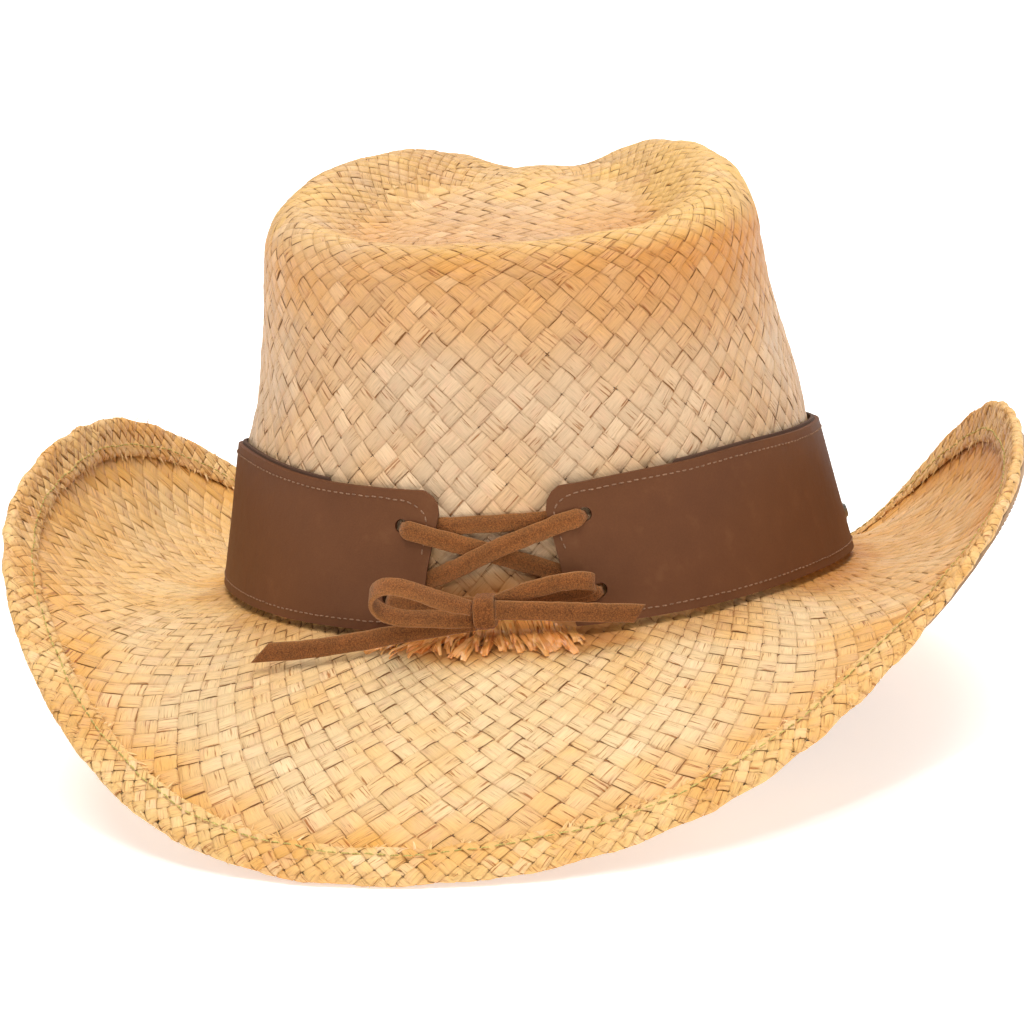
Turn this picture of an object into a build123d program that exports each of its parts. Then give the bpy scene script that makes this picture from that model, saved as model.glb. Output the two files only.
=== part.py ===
from build123d import *
import numpy as np
import os

os.makedirs("parts", exist_ok=True)

# ------------------------------------------------------------------------------------------
# Driving dimensions, millimetres and degrees.
# The hat is laid out about its head opening: phi runs round the opening, 0 at the back (-Y),
# 90 on the wearer's right (+X), 180 at the front (+Y). Heights are first counted from the
# break line at the back of the crown and then shifted so that the lowest edge stands at z = 0.
# ------------------------------------------------------------------------------------------
SHIFT_X, SHIFT_Y, SHIFT_Z = 3.2926, 2.6930, 46.3062       # break-line frame -> part frame
STRAW_T = 1.8            # brim sheet thickness
CROWN_T = 2.0            # crown wall thickness
HEM_D = 11.0             # width of the folded hem on the brim's top side
WIRE_R = 0.70            # edge wire radius
LEATHER_IN, LEATHER_OUT = 1.30, 2.50                    # hatband leather, distance off the crown wall
BACK_IN, BACK_OUT = 0.35, 1.25                          # hatband backing
BAND_H = 37.2            # hatband height
LACE_W, LACE_T = 5.0, 0.75                              # suede lace where it is threaded
TAIL_T = 1.2                                            # suede lace in the bow
HOLE_R = 1.85            # lace hole radius
SWEAT_IN, SWEAT_OUT = -3.2, -2.3                        # sweatband, distance off the crown wall
D = np.pi / 180


def cubic(xs, ys, periodic=False):
    """Natural or periodic cubic spline through a table."""
    xs = np.array(xs, float)
    ys = np.array(ys, float)
    n = len(xs)
    h = np.diff(xs)
    a = np.zeros((n, n))
    r = np.zeros(n)
    for i in range(1, n - 1):
        a[i, i - 1] = h[i - 1]
        a[i, i] = 2 * (h[i - 1] + h[i])
        a[i, i + 1] = h[i]
        r[i] = 6 * ((ys[i + 1] - ys[i]) / h[i] - (ys[i] - ys[i - 1]) / h[i - 1])
    if periodic:
        a[0, 0] = 1
        a[0, -1] = -1
        a[-1, 0] = 2 * h[0]
        a[-1, 1] = h[0]
        a[-1, -2] = h[-1]
        a[-1, -1] = 2 * h[-1]
        r[-1] = 6 * ((ys[1] - ys[0]) / h[0] - (ys[-1] - ys[-2]) / h[-1])
    else:
        a[0, 0] = a[-1, -1] = 1
    m = np.linalg.solve(a, r)

    def f(x):
        x = float(x)
        if periodic:
            x = xs[0] + (x - xs[0]) % (xs[-1] - xs[0])
        i = int(min(max(np.searchsorted(xs, x, side="right") - 1, 0), n - 2))
        p, q, hh = xs[i + 1] - x, x - xs[i], h[i]
        return float((m[i] * p**3 + m[i + 1] * q**3) / (6 * hh)
                     + (ys[i] / hh - m[i] * hh / 6) * p + (ys[i + 1] / hh - m[i + 1] * hh / 6) * q)
    return f


# crown wall: half width, reach to the back, reach to the front, egg shape, lean, by height
ZT = [-16, -4, 0, 20, 40, 50, 60, 75, 90]
half_w = cubic(ZT, [87.7, 85.3, 84.5, 80.4, 76.6, 74.2, 71.8, 69.2, 66.6])
reach_b = cubic(ZT, [106.4, 104.2, 103.5, 99.8, 96.3, 94.6, 93.0, 90.9, 88.2])
reach_f = cubic(ZT, [107.7, 104.5, 103.5, 98.3, 92.8, 89.8, 86.8, 82.0, 75.5])
egg = cubic(ZT, [0, 0, 0, 0.02, 0.04, 0.055, 0.075, 0.13, 0.18])
lean = cubic(ZT, [0, 0, 0, 0, 0, 0.5, 0.75, 0.85, 1.0])


def wall(ph, z):
    s, c = np.sin(ph * D), np.cos(ph * D)
    b, yb, yf = half_w(z), reach_b(z), reach_f(z)
    return np.array([lean(z) + b * s * (1 + egg(z) * c), (yf - yb) / 2 - (yf + yb) / 2 * c, z])


def off_wall(ph, z, d):
    """A point at height z, a distance d outside the crown wall."""
    q = wall(ph + 0.5, z) - wall(ph - 0.5, z)
    n = np.array([q[1], -q[0], 0.0])
    return wall(ph, z) + n / np.linalg.norm(n) * d


# crown top: rim crest share and height, valley share, and the height of the pinched centre by y
PH = [0, 45, 70, 90, 110, 130, 150, 165, 180]


def both_sides(v):
    return cubic([-p for p in PH[::-1]] + PH[1:], v[::-1] + v[1:], True)


crest_r = both_sides([.885, .87, .845, .81, .785, .775, .79, .815, .83])
crest_z = both_sides([100.0, 101.8, 105.8, 109.6, 112.0, 111.3, 107.6, 102.5, 99.5])
valley_r = both_sides([.52, .56, .50, .44, .41, .40, .42, .48, .55])
centre_z = cubic([-90, -60, -45, -30, -10, 5, 20, 35, 50, 62, 80],
                 [97, 95.4, 95.2, 96.0, 98.2, 100.5, 103.4, 105.2, 104.0, 101, 97])
TOP_Z, TOP_X, TOP_Y = 90.0, 1.0, -8.0


def smooth(t):
    t = min(max(t, 0.0), 1.0)
    return t * t * (3 - 2 * t)


def top(ph, t):
    """Crown top: t = 0 at the wall's upper edge, 0.35 on the rim crest, 1 at the weave's centre."""
    o = wall(ph, TOP_Z)
    rc, zr, rv = crest_r(ph), crest_z(ph), valley_r(ph)
    if t <= 0.35:
        a = min(max(t / 0.35, 0), 1) * np.pi / 2
        rho = rc + (1 - rc) * max(np.cos(a), 0.0) ** 0.9
        z = TOP_Z + (zr - TOP_Z) * np.sin(a) ** 0.95
    else:
        rho = rc * (1 - (t - 0.35) / 0.65)
        x, y = (o[0] - TOP_X) * rho, TOP_Y + (o[1] - TOP_Y) * rho
        h = centre_z(y) - 0.9 * smooth((abs(TOP_X + x) - 6) / 22) * smooth((y + 40) / 40)
        z = h + (zr - h) * smooth((rho - rv) / (rc - rv))
    return np.array([TOP_X + (o[0] - TOP_X) * rho, TOP_Y + (o[1] - TOP_Y) * rho, z])


def off_top(ph, t, d):
    e = 0.004
    t0, t1 = max(t - e, 0.0), min(t + e, 1.0)
    a = top(ph + 0.6, t) - top(ph - 0.6, t)
    b = top(ph, t1) - top(ph, t0)
    n = np.cross(a, b)
    n = n / max(np.linalg.norm(n), 1e-9)
    if n[2] < 0:
        n = -n
    return top(ph, t) + n * d


# brim: reach and height of the edge, depth of the break line, and the slopes of each section
PB = list(range(-180, 181, 15))
edge_r = cubic(PB, [70, 70.5, 68.5, 67.5, 61.9, 55.9, 55.1, 58.3, 62.0, 65.3, 69.7, 74.4, 75.4, 70.8,
                    63.4, 57.8, 54.5, 51.0, 47.3, 47.0, 51.6, 57.3, 60.5, 66, 70], True)
edge_z = cubic(PB, [-45, -41, -22, 9.5, 28.9, 33.6, 30.7, 21.5, 4.7, -16.7, -34.8, -44.0, -44.8, -39.2,
                    -27.0, -9.0, 9.8, 22.9, 28.9, 30.3, 26.0, 8.6, -23, -39.5, -45], True)
break_z = cubic(PB, [-13, -12.5, -12, -11, -9, -6, -3, -1, 0, 0, 0, 0, 0, 0, 0, 0, 0, -1, -3, -6, -9,
                     -11, -12, -12.5, -13], True)
slope_in = cubic(PB, [4, 13, 25, 37, 47, 50, 44, 32, 18, 8, 0, -4, -4, -3, 3, 12, 24, 37, 48, 51, 47,
                      37, 25, 13, 4], True)
slope_out = cubic(PB, [-4, 6, 30, 45, 45, 42, 38, 30, 16, 4, -3, -6, -6, -5, 0, 12, 32, 45, 47, 47, 48,
                       48, 31, 6, -4], True)
sag = cubic(PB, [0, 0, 1, 2, 1, 0, 0, 0, 0, 0, 0, 0, 0, 0, 0, 0, 0, 0, 0, 0, 1, 2, 1, 0, 0], True)
OPEN_A, OPEN_B = 106.0, 87.0       # half length and half width of the line where the brim leaves the band


def section(ph):
    h, v, z0 = edge_r(ph), edge_z(ph), break_z(ph)
    r0 = -0.24 * z0
    ch, g = np.hypot(h - r0, v - z0), np.arctan2(v - z0, h - r0)
    b0, b1 = g - slope_in(ph) * D, g + slope_out(ph) * D
    k = 0.36 * ch
    return r0, z0, h, v, r0 + k * np.cos(b0), z0 + k * np.sin(b0), h - k * np.cos(b1), v - k * np.sin(b1), ch


def brim_pt(ph, s, off=0.0):
    """Brim's top surface from break line (s = 0) to edge (s = 1), raised by off along its normal."""
    sn, cs = np.sin(ph * D), np.cos(ph * D)
    nx, ny = sn / OPEN_B, -cs / OPEN_A
    ln = np.hypot(nx, ny)
    nx, ny = nx / ln, ny / ln
    r0, z0, h, v, r1, z1, r2, z2, ch = section(ph)
    m, w = 1 - s, sag(ph)
    r = m**3 * r0 + 3 * m * m * s * r1 + 3 * m * s * s * r2 + s**3 * h
    z = m**3 * z0 + 3 * m * m * s * z1 + 3 * m * s * s * z2 + s**3 * v - w * np.sin(np.pi * s) ** 2
    dr = 3 * m * m * (r1 - r0) + 6 * m * s * (r2 - r1) + 3 * s * s * (h - r2)
    dz = 3 * m * m * (z1 - z0) + 6 * m * s * (z2 - z1) + 3 * s * s * (v - z2) - w * np.pi * np.sin(2 * np.pi * s)
    dl = np.hypot(dr, dz)
    r, z = r - off * dz / dl, z + off * dr / dl
    return np.array([OPEN_B * sn + nx * r, -OPEN_A * cs + ny * r, z])


def edge_pt(ph, d, off):
    """A point d inside the brim's edge, measured along the sheet, raised by off."""
    return brim_pt(ph, 1 - d / (1.08 * section(ph)[8]), off)


def V(p):
    return Vector(p[0] + SHIFT_X, p[1] + SHIFT_Y, p[2] + SHIFT_Z)


def ring(f, n=60):
    """A closed smooth curve once round the hat."""
    return Wire([Edge.make_spline([V(f(p)) for p in np.linspace(0, 360, n, endpoint=False)], periodic=True)])


def skin(wires):
    faces = []
    for a, b in zip(wires[:-1], wires[1:]):
        faces += list(Shell.make_loft([a, b], ruled=True).faces())
    return faces


def hoop(fs, n=60):
    """A closed strip of constant character that runs once round the hat: one curve per corner."""
    w = [ring(f, n) for f in fs]
    return Solid(Shell(skin(w + w[:1])))


def unit(v):
    return np.array(v, float) / np.linalg.norm(v)


def strap(pts, wdirs, width, thick, cut=0.0):
    """A flat strap through pts (n x 3) with its width along wdirs; cut slants the far end."""
    pts = np.array(pts, float)
    secs = []
    n = len(pts)
    for i in range(n):
        t = unit(pts[min(i + 1, n - 1)] - pts[max(i - 1, 0)])
        w = np.array(wdirs[i], float)
        w = unit(w - w.dot(t) * t)
        nn = np.cross(t, w)
        sh = cut if i == n - 1 else 0.0
        secs.append([V(pts[i] + a * width / 2 * w + b * thick / 2 * nn + a * sh / 2 * t)
                     for a, b in ((1, 1), (1, -1), (-1, -1), (-1, 1))])
    tris = [(secs[0][0], secs[0][1], secs[0][2]), (secs[0][0], secs[0][2], secs[0][3]),
            (secs[-1][0], secs[-1][2], secs[-1][1]), (secs[-1][0], secs[-1][3], secs[-1][2])]
    for a, b in zip(secs[:-1], secs[1:]):
        for k in range(4):
            m = (k + 1) % 4
            tris += [(a[k], b[k], b[m]), (a[k], b[m], a[m])]
    solid = Solid(Shell([Face(Wire.make_polygon(t, close=True)) for t in tris]))
    if solid.volume < 0:
        solid = Solid(solid.wrapped.Reversed())
    return solid


def on_band(st):
    """Stations (phi, z, distance off the wall) -> points and width directions lying in the band's surface."""
    p = np.array([off_wall(*s) for s in st])
    w = []
    for i, s in enumerate(st):
        t = unit(p[min(i + 1, len(p) - 1)] - p[max(i - 1, 0)])
        up = off_wall(s[0], s[1] + 1, s[2]) - off_wall(s[0], s[1] - 1, s[2])
        ac = off_wall(s[0] + 1, s[1], s[2]) - off_wall(s[0] - 1, s[1], s[2])
        nn = unit(np.cross(ac, up))
        w.append(np.cross(nn, t))
    return p, w


def band_plane(ph, z, d):
    """A plane standing on the band's surface, its normal pointing away from the crown."""
    up = unit(off_wall(ph, z + 1, d) - off_wall(ph, z - 1, d))
    ac = unit(off_wall(ph + 1, z, d) - off_wall(ph - 1, z, d))
    return Plane(origin=V(off_wall(ph, z, d)), x_dir=Vector(*ac), z_dir=Vector(*np.cross(ac, up)))


# ------------------------------------------------------------------------------------------
# Straw body: crown with a pinched top, and brim with its collar under the band
# ------------------------------------------------------------------------------------------
wall_zs = [0, 10, 20, 30, 40, 50, 60, 70, 80, 90]
top_ts = [.045, .09, .135, .18, .22, .26, .305, .35, .395, .44, .49, .54, .59, .64, .69, .74, .79, .84, .89, .93]
POLE_T = 0.965


def pole(d):
    z = float(np.mean([off_top(p, POLE_T, d)[2] for p in range(0, 360, 30)]))
    return lambda p: np.append(off_top(p, POLE_T, d)[:2], z)


def crown_rings(d):
    return ([ring(lambda p, z=z: off_wall(p, z, d)) for z in wall_zs]
            + [ring(lambda p, t=t: off_top(p, t, d)) for t in top_ts] + [ring(pole(d))])


outer, inner = crown_rings(0.0), crown_rings(-CROWN_T)
with BuildPart() as crown:
    add(Solid(Shell(skin(outer) + skin(inner) + skin([outer[0], inner[0]])
                    + [Face(outer[-1]), Face(inner[-1])])))
crown.part.label = "crown"

brim_s = [0, .03, .07, .12, .18, .25, .33, .41, .50, .59, .68, .77, .85, .92]
EDGE_D = 2.75


def sheet(off):
    fs = [(lambda p, s=s: brim_pt(p, s * (1 - EDGE_D / (1.08 * section(p)[8])), off)) for s in brim_s]
    return fs + [lambda p: edge_pt(p, EDGE_D, off)]


with BuildPart() as brim:
    add(hoop([lambda p: off_wall(p, -0.05, 0.0), lambda p: off_wall(p, break_z(p) - 0.5, 0.0)]
             + sheet(0.0) + sheet(-STRAW_T)[::-1]
             + [lambda p: off_wall(p, break_z(p) - 0.5 - STRAW_T, -CROWN_T), lambda p: off_wall(p, -0.05, -CROWN_T)]))
brim.part.label = "brim"

# folded hem: the sheet's edge rolls up over a wire and lies back on the brim's top side
hem_profile = [(HEM_D, 0.12), (HEM_D, 1.10), (6.5, 1.25), (3.0, 1.30), (1.2, 1.05), (0.3, 0.35), (0.0, -0.60),
               (0.3, -1.45), (1.2, -1.90), (2.65, -1.85), (2.65, -1.50), (1.6, -1.45), (0.85, -1.15),
               (0.68, -0.65), (0.85, -0.15), (1.6, 0.14)]
with BuildPart() as brim_hem:
    add(hoop([(lambda p, q=q: edge_pt(p, q[0], q[1])) for q in hem_profile], 72))
brim_hem.part.label = "brim_hem"

with BuildPart() as brim_wire:
    add(hoop([(lambda p, a=a: edge_pt(p, 1.62 + WIRE_R * np.cos(a * D), -0.68 + WIRE_R * np.sin(a * D)))
              for a in range(0, 360, 36)], 72))
brim_wire.part.label = "brim_wire"

with BuildPart() as hem_stitching:
    add(hoop([(lambda p, q=q: edge_pt(p, q[0], q[1])) for q in ((8.6, 1.32), (8.6, 1.66), (8.0, 1.66), (8.0, 1.34))], 72))
hem_stitching.part.label = "hem_stitching"

# leather patch under the brim on the right side, with its own stitching
def patch_section(ph, d0, d1, o0, o1):
    ds = np.linspace(d0, d1, 9)
    pts = [edge_pt(ph, d, o0) for d in ds] + [edge_pt(ph, d, o1) for d in ds[::-1]]
    return Wire.make_polygon([V(q) for q in pts], close=True)


PATCH = [(50, 8.0, 25.0), (51.2, 5.4, 28.5), (53.5, 3.8, 31.2), (57, 3.0, 33.0), (62, 3.0, 34.0), (67, 3.0, 34.0),
         (72, 3.0, 34.0), (77, 3.0, 34.0), (82, 3.0, 34.0), (87, 3.0, 34.0), (92, 3.0, 34.0), (97, 3.0, 33.0),
         (100.5, 3.8, 31.2), (102.8, 5.4, 28.5), (104, 8.0, 25.0)]
with BuildPart() as brim_patch:
    add(Solid.make_loft([patch_section(p, a, b, -STRAW_T - 0.32, -STRAW_T - 1.30) for p, a, b in PATCH], ruled=True))
brim_patch.part.label = "brim_patch"

with BuildPart() as patch_stitching:
    add(Solid.make_loft([patch_section(p, 5.6, 6.2, -STRAW_T - 1.42, -STRAW_T - 1.72) for p, a, b in PATCH[3:-3]], ruled=True))
    add(Solid.make_loft([patch_section(p, 30.0, 30.6, -STRAW_T - 1.42, -STRAW_T - 1.72) for p, a, b in PATCH[3:-3]], ruled=True))
patch_stitching.part.label = "patch_stitching"


# ------------------------------------------------------------------------------------------
# Hatband: leather strap laced at the back over a thinner backing
# ------------------------------------------------------------------------------------------
def z_bot(p):
    return break_z(p) + 1.7


band_top = cubic([-180, -90, -71, -57, -44, -31, -21, -12.6, 0, 15, 23, 31, 40, 50, 62, 78, 90, 180],
                 [39, 39, 41.0, 41.2, 40.3, 39.1, 38.6, 38.2, 37.9, 37.9, 38.8, 39.5, 39.8, 40.2, 39.7, 39, 38.9, 39], True)


def z_top(p):
    return break_z(p) + band_top(p)


def belt(d0, d1, lo, hi):
    """Band cross-section: inner face d0, outer face d1 off the wall, from height lo(p) to hi(p)."""
    mid = lambda p: 0.5 * (lo(p) + hi(p))
    return hoop([lambda p: off_wall(p, lo(p), d0), lambda p: off_wall(p, mid(p), d0), lambda p: off_wall(p, hi(p), d0),
                 lambda p: off_wall(p, hi(p), d1), lambda p: off_wall(p, mid(p), d1), lambda p: off_wall(p, lo(p), d1)])


def rivet_plane(ph, z, d):
    """A plane square to the rivet's own axis, at height d on it."""
    return band_plane(ph, z, 0.0).offset(d)


def gap_outline(grow):
    """The opening between the band's two ends, seen from the back; the upper corners are rounded."""
    left = [(-18.0, -6.0), (-17.0, 1.5), (-15.3, 10.0), (-13.9, 18.0), (-12.0, 25.5), (-10.3, 32.0), (-10.5, 34.4),
            (-11.7, 36.4), (-13.6, 37.8), (-16.0, 38.7), (-19.0, 45.0)]
    right = [(26.0, 45.0), (23.6, 38.9), (21.0, 38.0), (19.2, 36.6), (18.0, 34.6), (17.7, 32.0), (19.2, 25.5),
             (21.0, 17.5), (22.8, 9.0), (24.4, 2.2), (26.0, -0.5), (28.5, -6.0)]
    return [(x - grow + SHIFT_X, z + SHIFT_Z) for x, z in left] + [(x + grow + SHIFT_X, z + SHIFT_Z) for x, z in right]


BACK_PLANE = Plane(origin=(0, -40, 0), x_dir=(1, 0, 0), z_dir=(0, -1, 0))
HOLES = {"left_upper": (-14.2, 28.6), "right_upper": (19.25, 29.7), "right_lower": (21.0, 10.0), "left_lower": (-16.95, 9.8)}
RIVET = {"right": (110.0, 2.4), "left": (-110.0, 2.4)}

with BuildPart() as hatband_leather:
    add(belt(LEATHER_IN, LEATHER_OUT, z_bot, z_top))
    with BuildSketch(BACK_PLANE):
        Polygon(*gap_outline(0.0), align=None)
    extrude(amount=110, mode=Mode.SUBTRACT)
    for ph, z in HOLES.values():
        with BuildSketch(band_plane(ph, z, 0.4)):
            Circle(HOLE_R)
        extrude(amount=4.0, mode=Mode.SUBTRACT)
    for ph, z in RIVET.values():
        with BuildSketch(rivet_plane(ph, z, 0.6)):
            Circle(1.35)
        extrude(amount=4.0, mode=Mode.SUBTRACT)
hatband_leather.part.label = "hatband_leather"

with BuildPart() as hatband_backing:
    add(belt(BACK_IN, BACK_OUT, lambda p: z_bot(p) + 0.5, lambda p: z_top(p) + 0.7))
    with BuildSketch(BACK_PLANE):
        Polygon(*gap_outline(25.0), align=None)
    extrude(amount=110, mode=Mode.SUBTRACT)
    for ph, z in RIVET.values():
        with BuildSketch(rivet_plane(ph, z, -0.2)):
            Circle(3.1)
        extrude(amount=1.15, mode=Mode.SUBTRACT)
        with BuildSketch(rivet_plane(ph, z, -0.2)):
            Circle(1.35)
        extrude(amount=4.0, mode=Mode.SUBTRACT)
hatband_backing.part.label = "hatband_backing"

with BuildPart() as hatband_stitching_upper:
    add(belt(LEATHER_OUT + 0.12, LEATHER_OUT + 0.37, lambda p: z_top(p) - 2.55, lambda p: z_top(p) - 2.05))
    with BuildSketch(BACK_PLANE):
        Polygon(*gap_outline(1.6), align=None)
    extrude(amount=110, mode=Mode.SUBTRACT)
hatband_stitching_upper.part.label = "hatband_stitching_upper"

with BuildPart() as hatband_stitching_lower:
    add(belt(LEATHER_OUT + 0.12, LEATHER_OUT + 0.37, lambda p: z_bot(p) + 2.05, lambda p: z_bot(p) + 2.55))
    with BuildSketch(BACK_PLANE):
        Polygon(*gap_outline(2.0), align=None)
    extrude(amount=110, mode=Mode.SUBTRACT)
hatband_stitching_lower.part.label = "hatband_stitching_lower"

# domed rivets that hold leather and backing together on each side
rivet_parts = {}
for side, (ph, z) in RIVET.items():
    base = rivet_plane(ph, z, LEATHER_OUT + 0.08)
    with BuildPart() as rivet_cap:
        with BuildSketch(base):
            Circle(3.6)
        extrude(amount=0.9)
        fillet(rivet_cap.faces().sort_by(Axis(base.origin, base.z_dir))[-1].edges(), 0.45)
        with BuildSketch(base.offset(0.85)):
            Circle(2.5)
        extrude(amount=1.0, taper=38)
    rivet_cap.part.label = "rivet_cap_" + side
    rivet_parts["rivet_cap_" + side] = rivet_cap.part
    with BuildPart() as rivet_post:
        with BuildSketch(rivet_plane(ph, z, 0.42)):
            Circle(2.8)
        extrude(amount=0.40)
        with BuildSketch(rivet_plane(ph, z, 0.80)):
            Circle(1.25)
        extrude(amount=LEATHER_OUT + 0.02 - 0.80)
    rivet_post.part.label = "rivet_post_" + side
    rivet_parts["rivet_post_" + side] = rivet_post.part


# ------------------------------------------------------------------------------------------
# Suede lace: cross bar, two crossing strips, and the bow
# ------------------------------------------------------------------------------------------
PLUG_R = 1.5             # the lace is squeezed round where it passes a hole

bar_st = [(-13.0, 28.55, .80), (-10, 28.65, .80), (-7, 28.75, .80), (-4, 28.9, .80), (-1, 29.0, .80), (2, 29.05, .80),
          (5, 29.1, .80), (8, 29.15, .80), (11, 29.2, .80), (14, 29.4, .80), (18.0, 29.65, .80)]
with BuildPart() as lace_bar:
    add(strap(*on_band(bar_st), 4.6, LACE_T))
lace_bar.part.label = "lace_bar"

a_out = [(19.6, 29.8, 3.05), (17.35, 29.4, 3.05), (15, 28.6, 3.05), (12.5, 27.5, 3.05), (8, 25.4, 2.92), (3.9, 23.4, 2.78), (0, 20.9, 2.6),
         (-2.5, 19.1, 2.2), (-5, 17.5, 1.4), (-7.4, 16.0, .85), (-9.9, 14.7, .80), (-13.5, 12.2, .80), (-17.2, 9.7, .80)]
a_lead = [(-17.4, 9.8, 3.05), (-13, 9.5, 3.05), (-9, 9.2, 3.05), (-5, 8.9, 3.05), (-0.75, 8.7, 3.05)]
with BuildPart() as lace_strip_a:
    add(strap(*on_band(a_out), LACE_W, LACE_T))
    add(strap(*on_band(a_lead), LACE_W - 0.4, LACE_T))
    for name in ("right_upper", "left_lower"):
        with BuildSketch(band_plane(*HOLES[name], 0.80)):
            Circle(PLUG_R)
        extrude(amount=2.3)
lace_strip_a.part.label = "lace_strip_a"

b_out = [(-14.6, 28.7, 3.05), (-12.5, 28.0, 3.05), (-10, 27.1, 3.05), (-7.6, 26.1, 3.05), (-6, 25.4, 2.6), (-4.2, 24.5, 1.9), (-2.5, 23.7, 1.27),
         (0, 22.5, 1.0), (3.7, 20.8, .85), (9.3, 18.0, .80), (14.3, 15.2, .80), (17.5, 12.8, .80), (21.3, 9.9, .80)]
b_lead = [(21.4, 10.0, 3.05), (16, 10.0, 3.05), (11, 9.8, 3.05), (7, 9.5, 3.05), (3.25, 9.2, 3.05)]
with BuildPart() as lace_strip_b:
    add(strap(*on_band(b_out), LACE_W, LACE_T))
    add(strap(*on_band(b_lead), LACE_W - 0.4, LACE_T))
    for name in ("left_upper", "right_lower"):
        with BuildSketch(band_plane(*HOLES[name], 0.80)):
            Circle(PLUG_R)
        extrude(amount=2.3)
lace_strip_b.part.label = "lace_strip_b"

KNOT = (2.0, -108.4, 7.9)
with BuildPart() as bow_knot:
    with Locations(V(KNOT)):
        Box(5.5, 8.4, 9.0)
    fillet(bow_knot.edges().filter_by(Axis.X), 2.6)
    fillet(bow_knot.edges().group_by(Axis.X)[0] + bow_knot.edges().group_by(Axis.X)[-1], 0.6)
bow_knot.part.label = "bow_knot"


def lean_dir(a):
    return (0, np.sin(a * D), np.cos(a * D))


loop_l = [((-1.45, -111.3, 9.5), 8), ((-4.6, -114.2, 11.0), 18), ((-9.1, -116.8, 13.2), 32), ((-13.2, -118.9, 15.4), 42),
          ((-17.6, -119.8, 17.2), 45), ((-22.2, -119.2, 17.6), 45), ((-25.6, -117.3, 16.0), 45), ((-26.9, -114.9, 13.2), 45),
          ((-26.2, -112.4, 10.4), 45), ((-23.2, -110.9, 8.0), 45), ((-19.0, -110.4, 6.9), 45), ((-14.0, -110.3, 6.7), 42),
          ((-8.6, -110.0, 6.5), 32), ((-4.6, -109.8, 6.0), 18), ((-1.45, -109.5, 5.8), 8)]
with BuildPart() as bow_loop_left:
    add(strap([p for p, a in loop_l], [lean_dir(a) for p, a in loop_l], LACE_W, TAIL_T))
bow_loop_left.part.label = "bow_loop_left"

loop_r = [((5.35, -109.8, 10.7), 4), ((9.0, -110.0, 12.0), 4), ((13.2, -109.6, 13.1), 4), ((18.6, -108.4, 14.3), 4), ((23.5, -106.6, 14.9), 4),
          ((27.2, -104.6, 14.6), 4), ((29.2, -102.9, 13.9), 4), ((29.6, -101.7, 13.0), 6), ((28.0, -101.3, 12.0), 6), ((24.5, -102.2, 11.2), 4),
          ((20.0, -103.6, 10.8), 4), ((15.0, -105.1, 10.5), 4), ((10.0, -106.4, 10.1), 4), ((5.35, -107.3, 9.6), 4)]
with BuildPart() as bow_loop_right:
    add(strap([p for p, a in loop_r], [lean_dir(a) for p, a in loop_r], LACE_W - 0.4, TAIL_T))
bow_loop_right.part.label = "bow_loop_right"

tail_l = [(-1.05, -107.2, 5.2), (-5.0, -107.6, 4.6), (-10.0, -107.8, 3.9), (-20.4, -107.6, 2.5), (-34.5, -106.2, 0.0),
          (-48.2, -103.6, -2.2), (-59.8, -100.6, -3.2)]
with BuildPart() as lace_tail_left:
    add(strap(tail_l, [(0, 0.1, 1)] * len(tail_l), LACE_W, TAIL_T, cut=-6.0))
lace_tail_left.part.label = "lace_tail_left"

tail_r = [(5.05, -111.6, 8.8), (10.0, -112.1, 8.7), (17.8, -112.0, 8.3), (24.0, -110.8, 7.6), (32.0, -108.0, 6.6), (41.5, -103.8, 5.2)]
with BuildPart() as lace_tail_right:
    add(strap(tail_r, [(0, 0.1, 1)] * len(tail_r), LACE_W, TAIL_T, cut=3.0))
lace_tail_right.part.label = "lace_tail_right"

# ------------------------------------------------------------------------------------------
# Sweatband inside the head opening
# ------------------------------------------------------------------------------------------
with BuildPart() as sweatband:
    add(belt(SWEAT_IN, SWEAT_OUT, lambda p: break_z(p) - 0.9, lambda p: 0.4 * break_z(p) + 27.0))
    with Locations(V((0, -100, 10))):
        Box(0.4, 24, 80, mode=Mode.SUBTRACT)
sweatband.part.label = "sweatband"

with BuildPart() as sweatband_stitching:
    add(belt(SWEAT_IN - 0.35, SWEAT_IN - 0.05, lambda p: break_z(p) + 1.6, lambda p: break_z(p) + 2.2))
    with Locations(V((0, -100, 10))):
        Box(1.6, 24, 80, mode=Mode.SUBTRACT)
sweatband_stitching.part.label = "sweatband_stitching"

export_step(crown.part, "parts/crown.step")
export_step(brim.part, "parts/brim.step")
export_step(brim_hem.part, "parts/brim_hem.step")
export_step(brim_wire.part, "parts/brim_wire.step")
export_step(hem_stitching.part, "parts/hem_stitching.step")
export_step(brim_patch.part, "parts/brim_patch.step")
export_step(patch_stitching.part, "parts/patch_stitching.step")
export_step(hatband_leather.part, "parts/hatband_leather.step")
export_step(hatband_backing.part, "parts/hatband_backing.step")
export_step(hatband_stitching_upper.part, "parts/hatband_stitching_upper.step")
export_step(hatband_stitching_lower.part, "parts/hatband_stitching_lower.step")
for label, solid in rivet_parts.items():
    export_step(solid, "parts/" + label + ".step")
export_step(lace_bar.part, "parts/lace_bar.step")
export_step(lace_strip_a.part, "parts/lace_strip_a.step")
export_step(lace_strip_b.part, "parts/lace_strip_b.step")
export_step(bow_knot.part, "parts/bow_knot.step")
export_step(bow_loop_left.part, "parts/bow_loop_left.step")
export_step(bow_loop_right.part, "parts/bow_loop_right.step")
export_step(lace_tail_left.part, "parts/lace_tail_left.step")
export_step(lace_tail_right.part, "parts/lace_tail_right.step")
export_step(sweatband.part, "parts/sweatband.step")
export_step(sweatband_stitching.part, "parts/sweatband_stitching.step")

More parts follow.
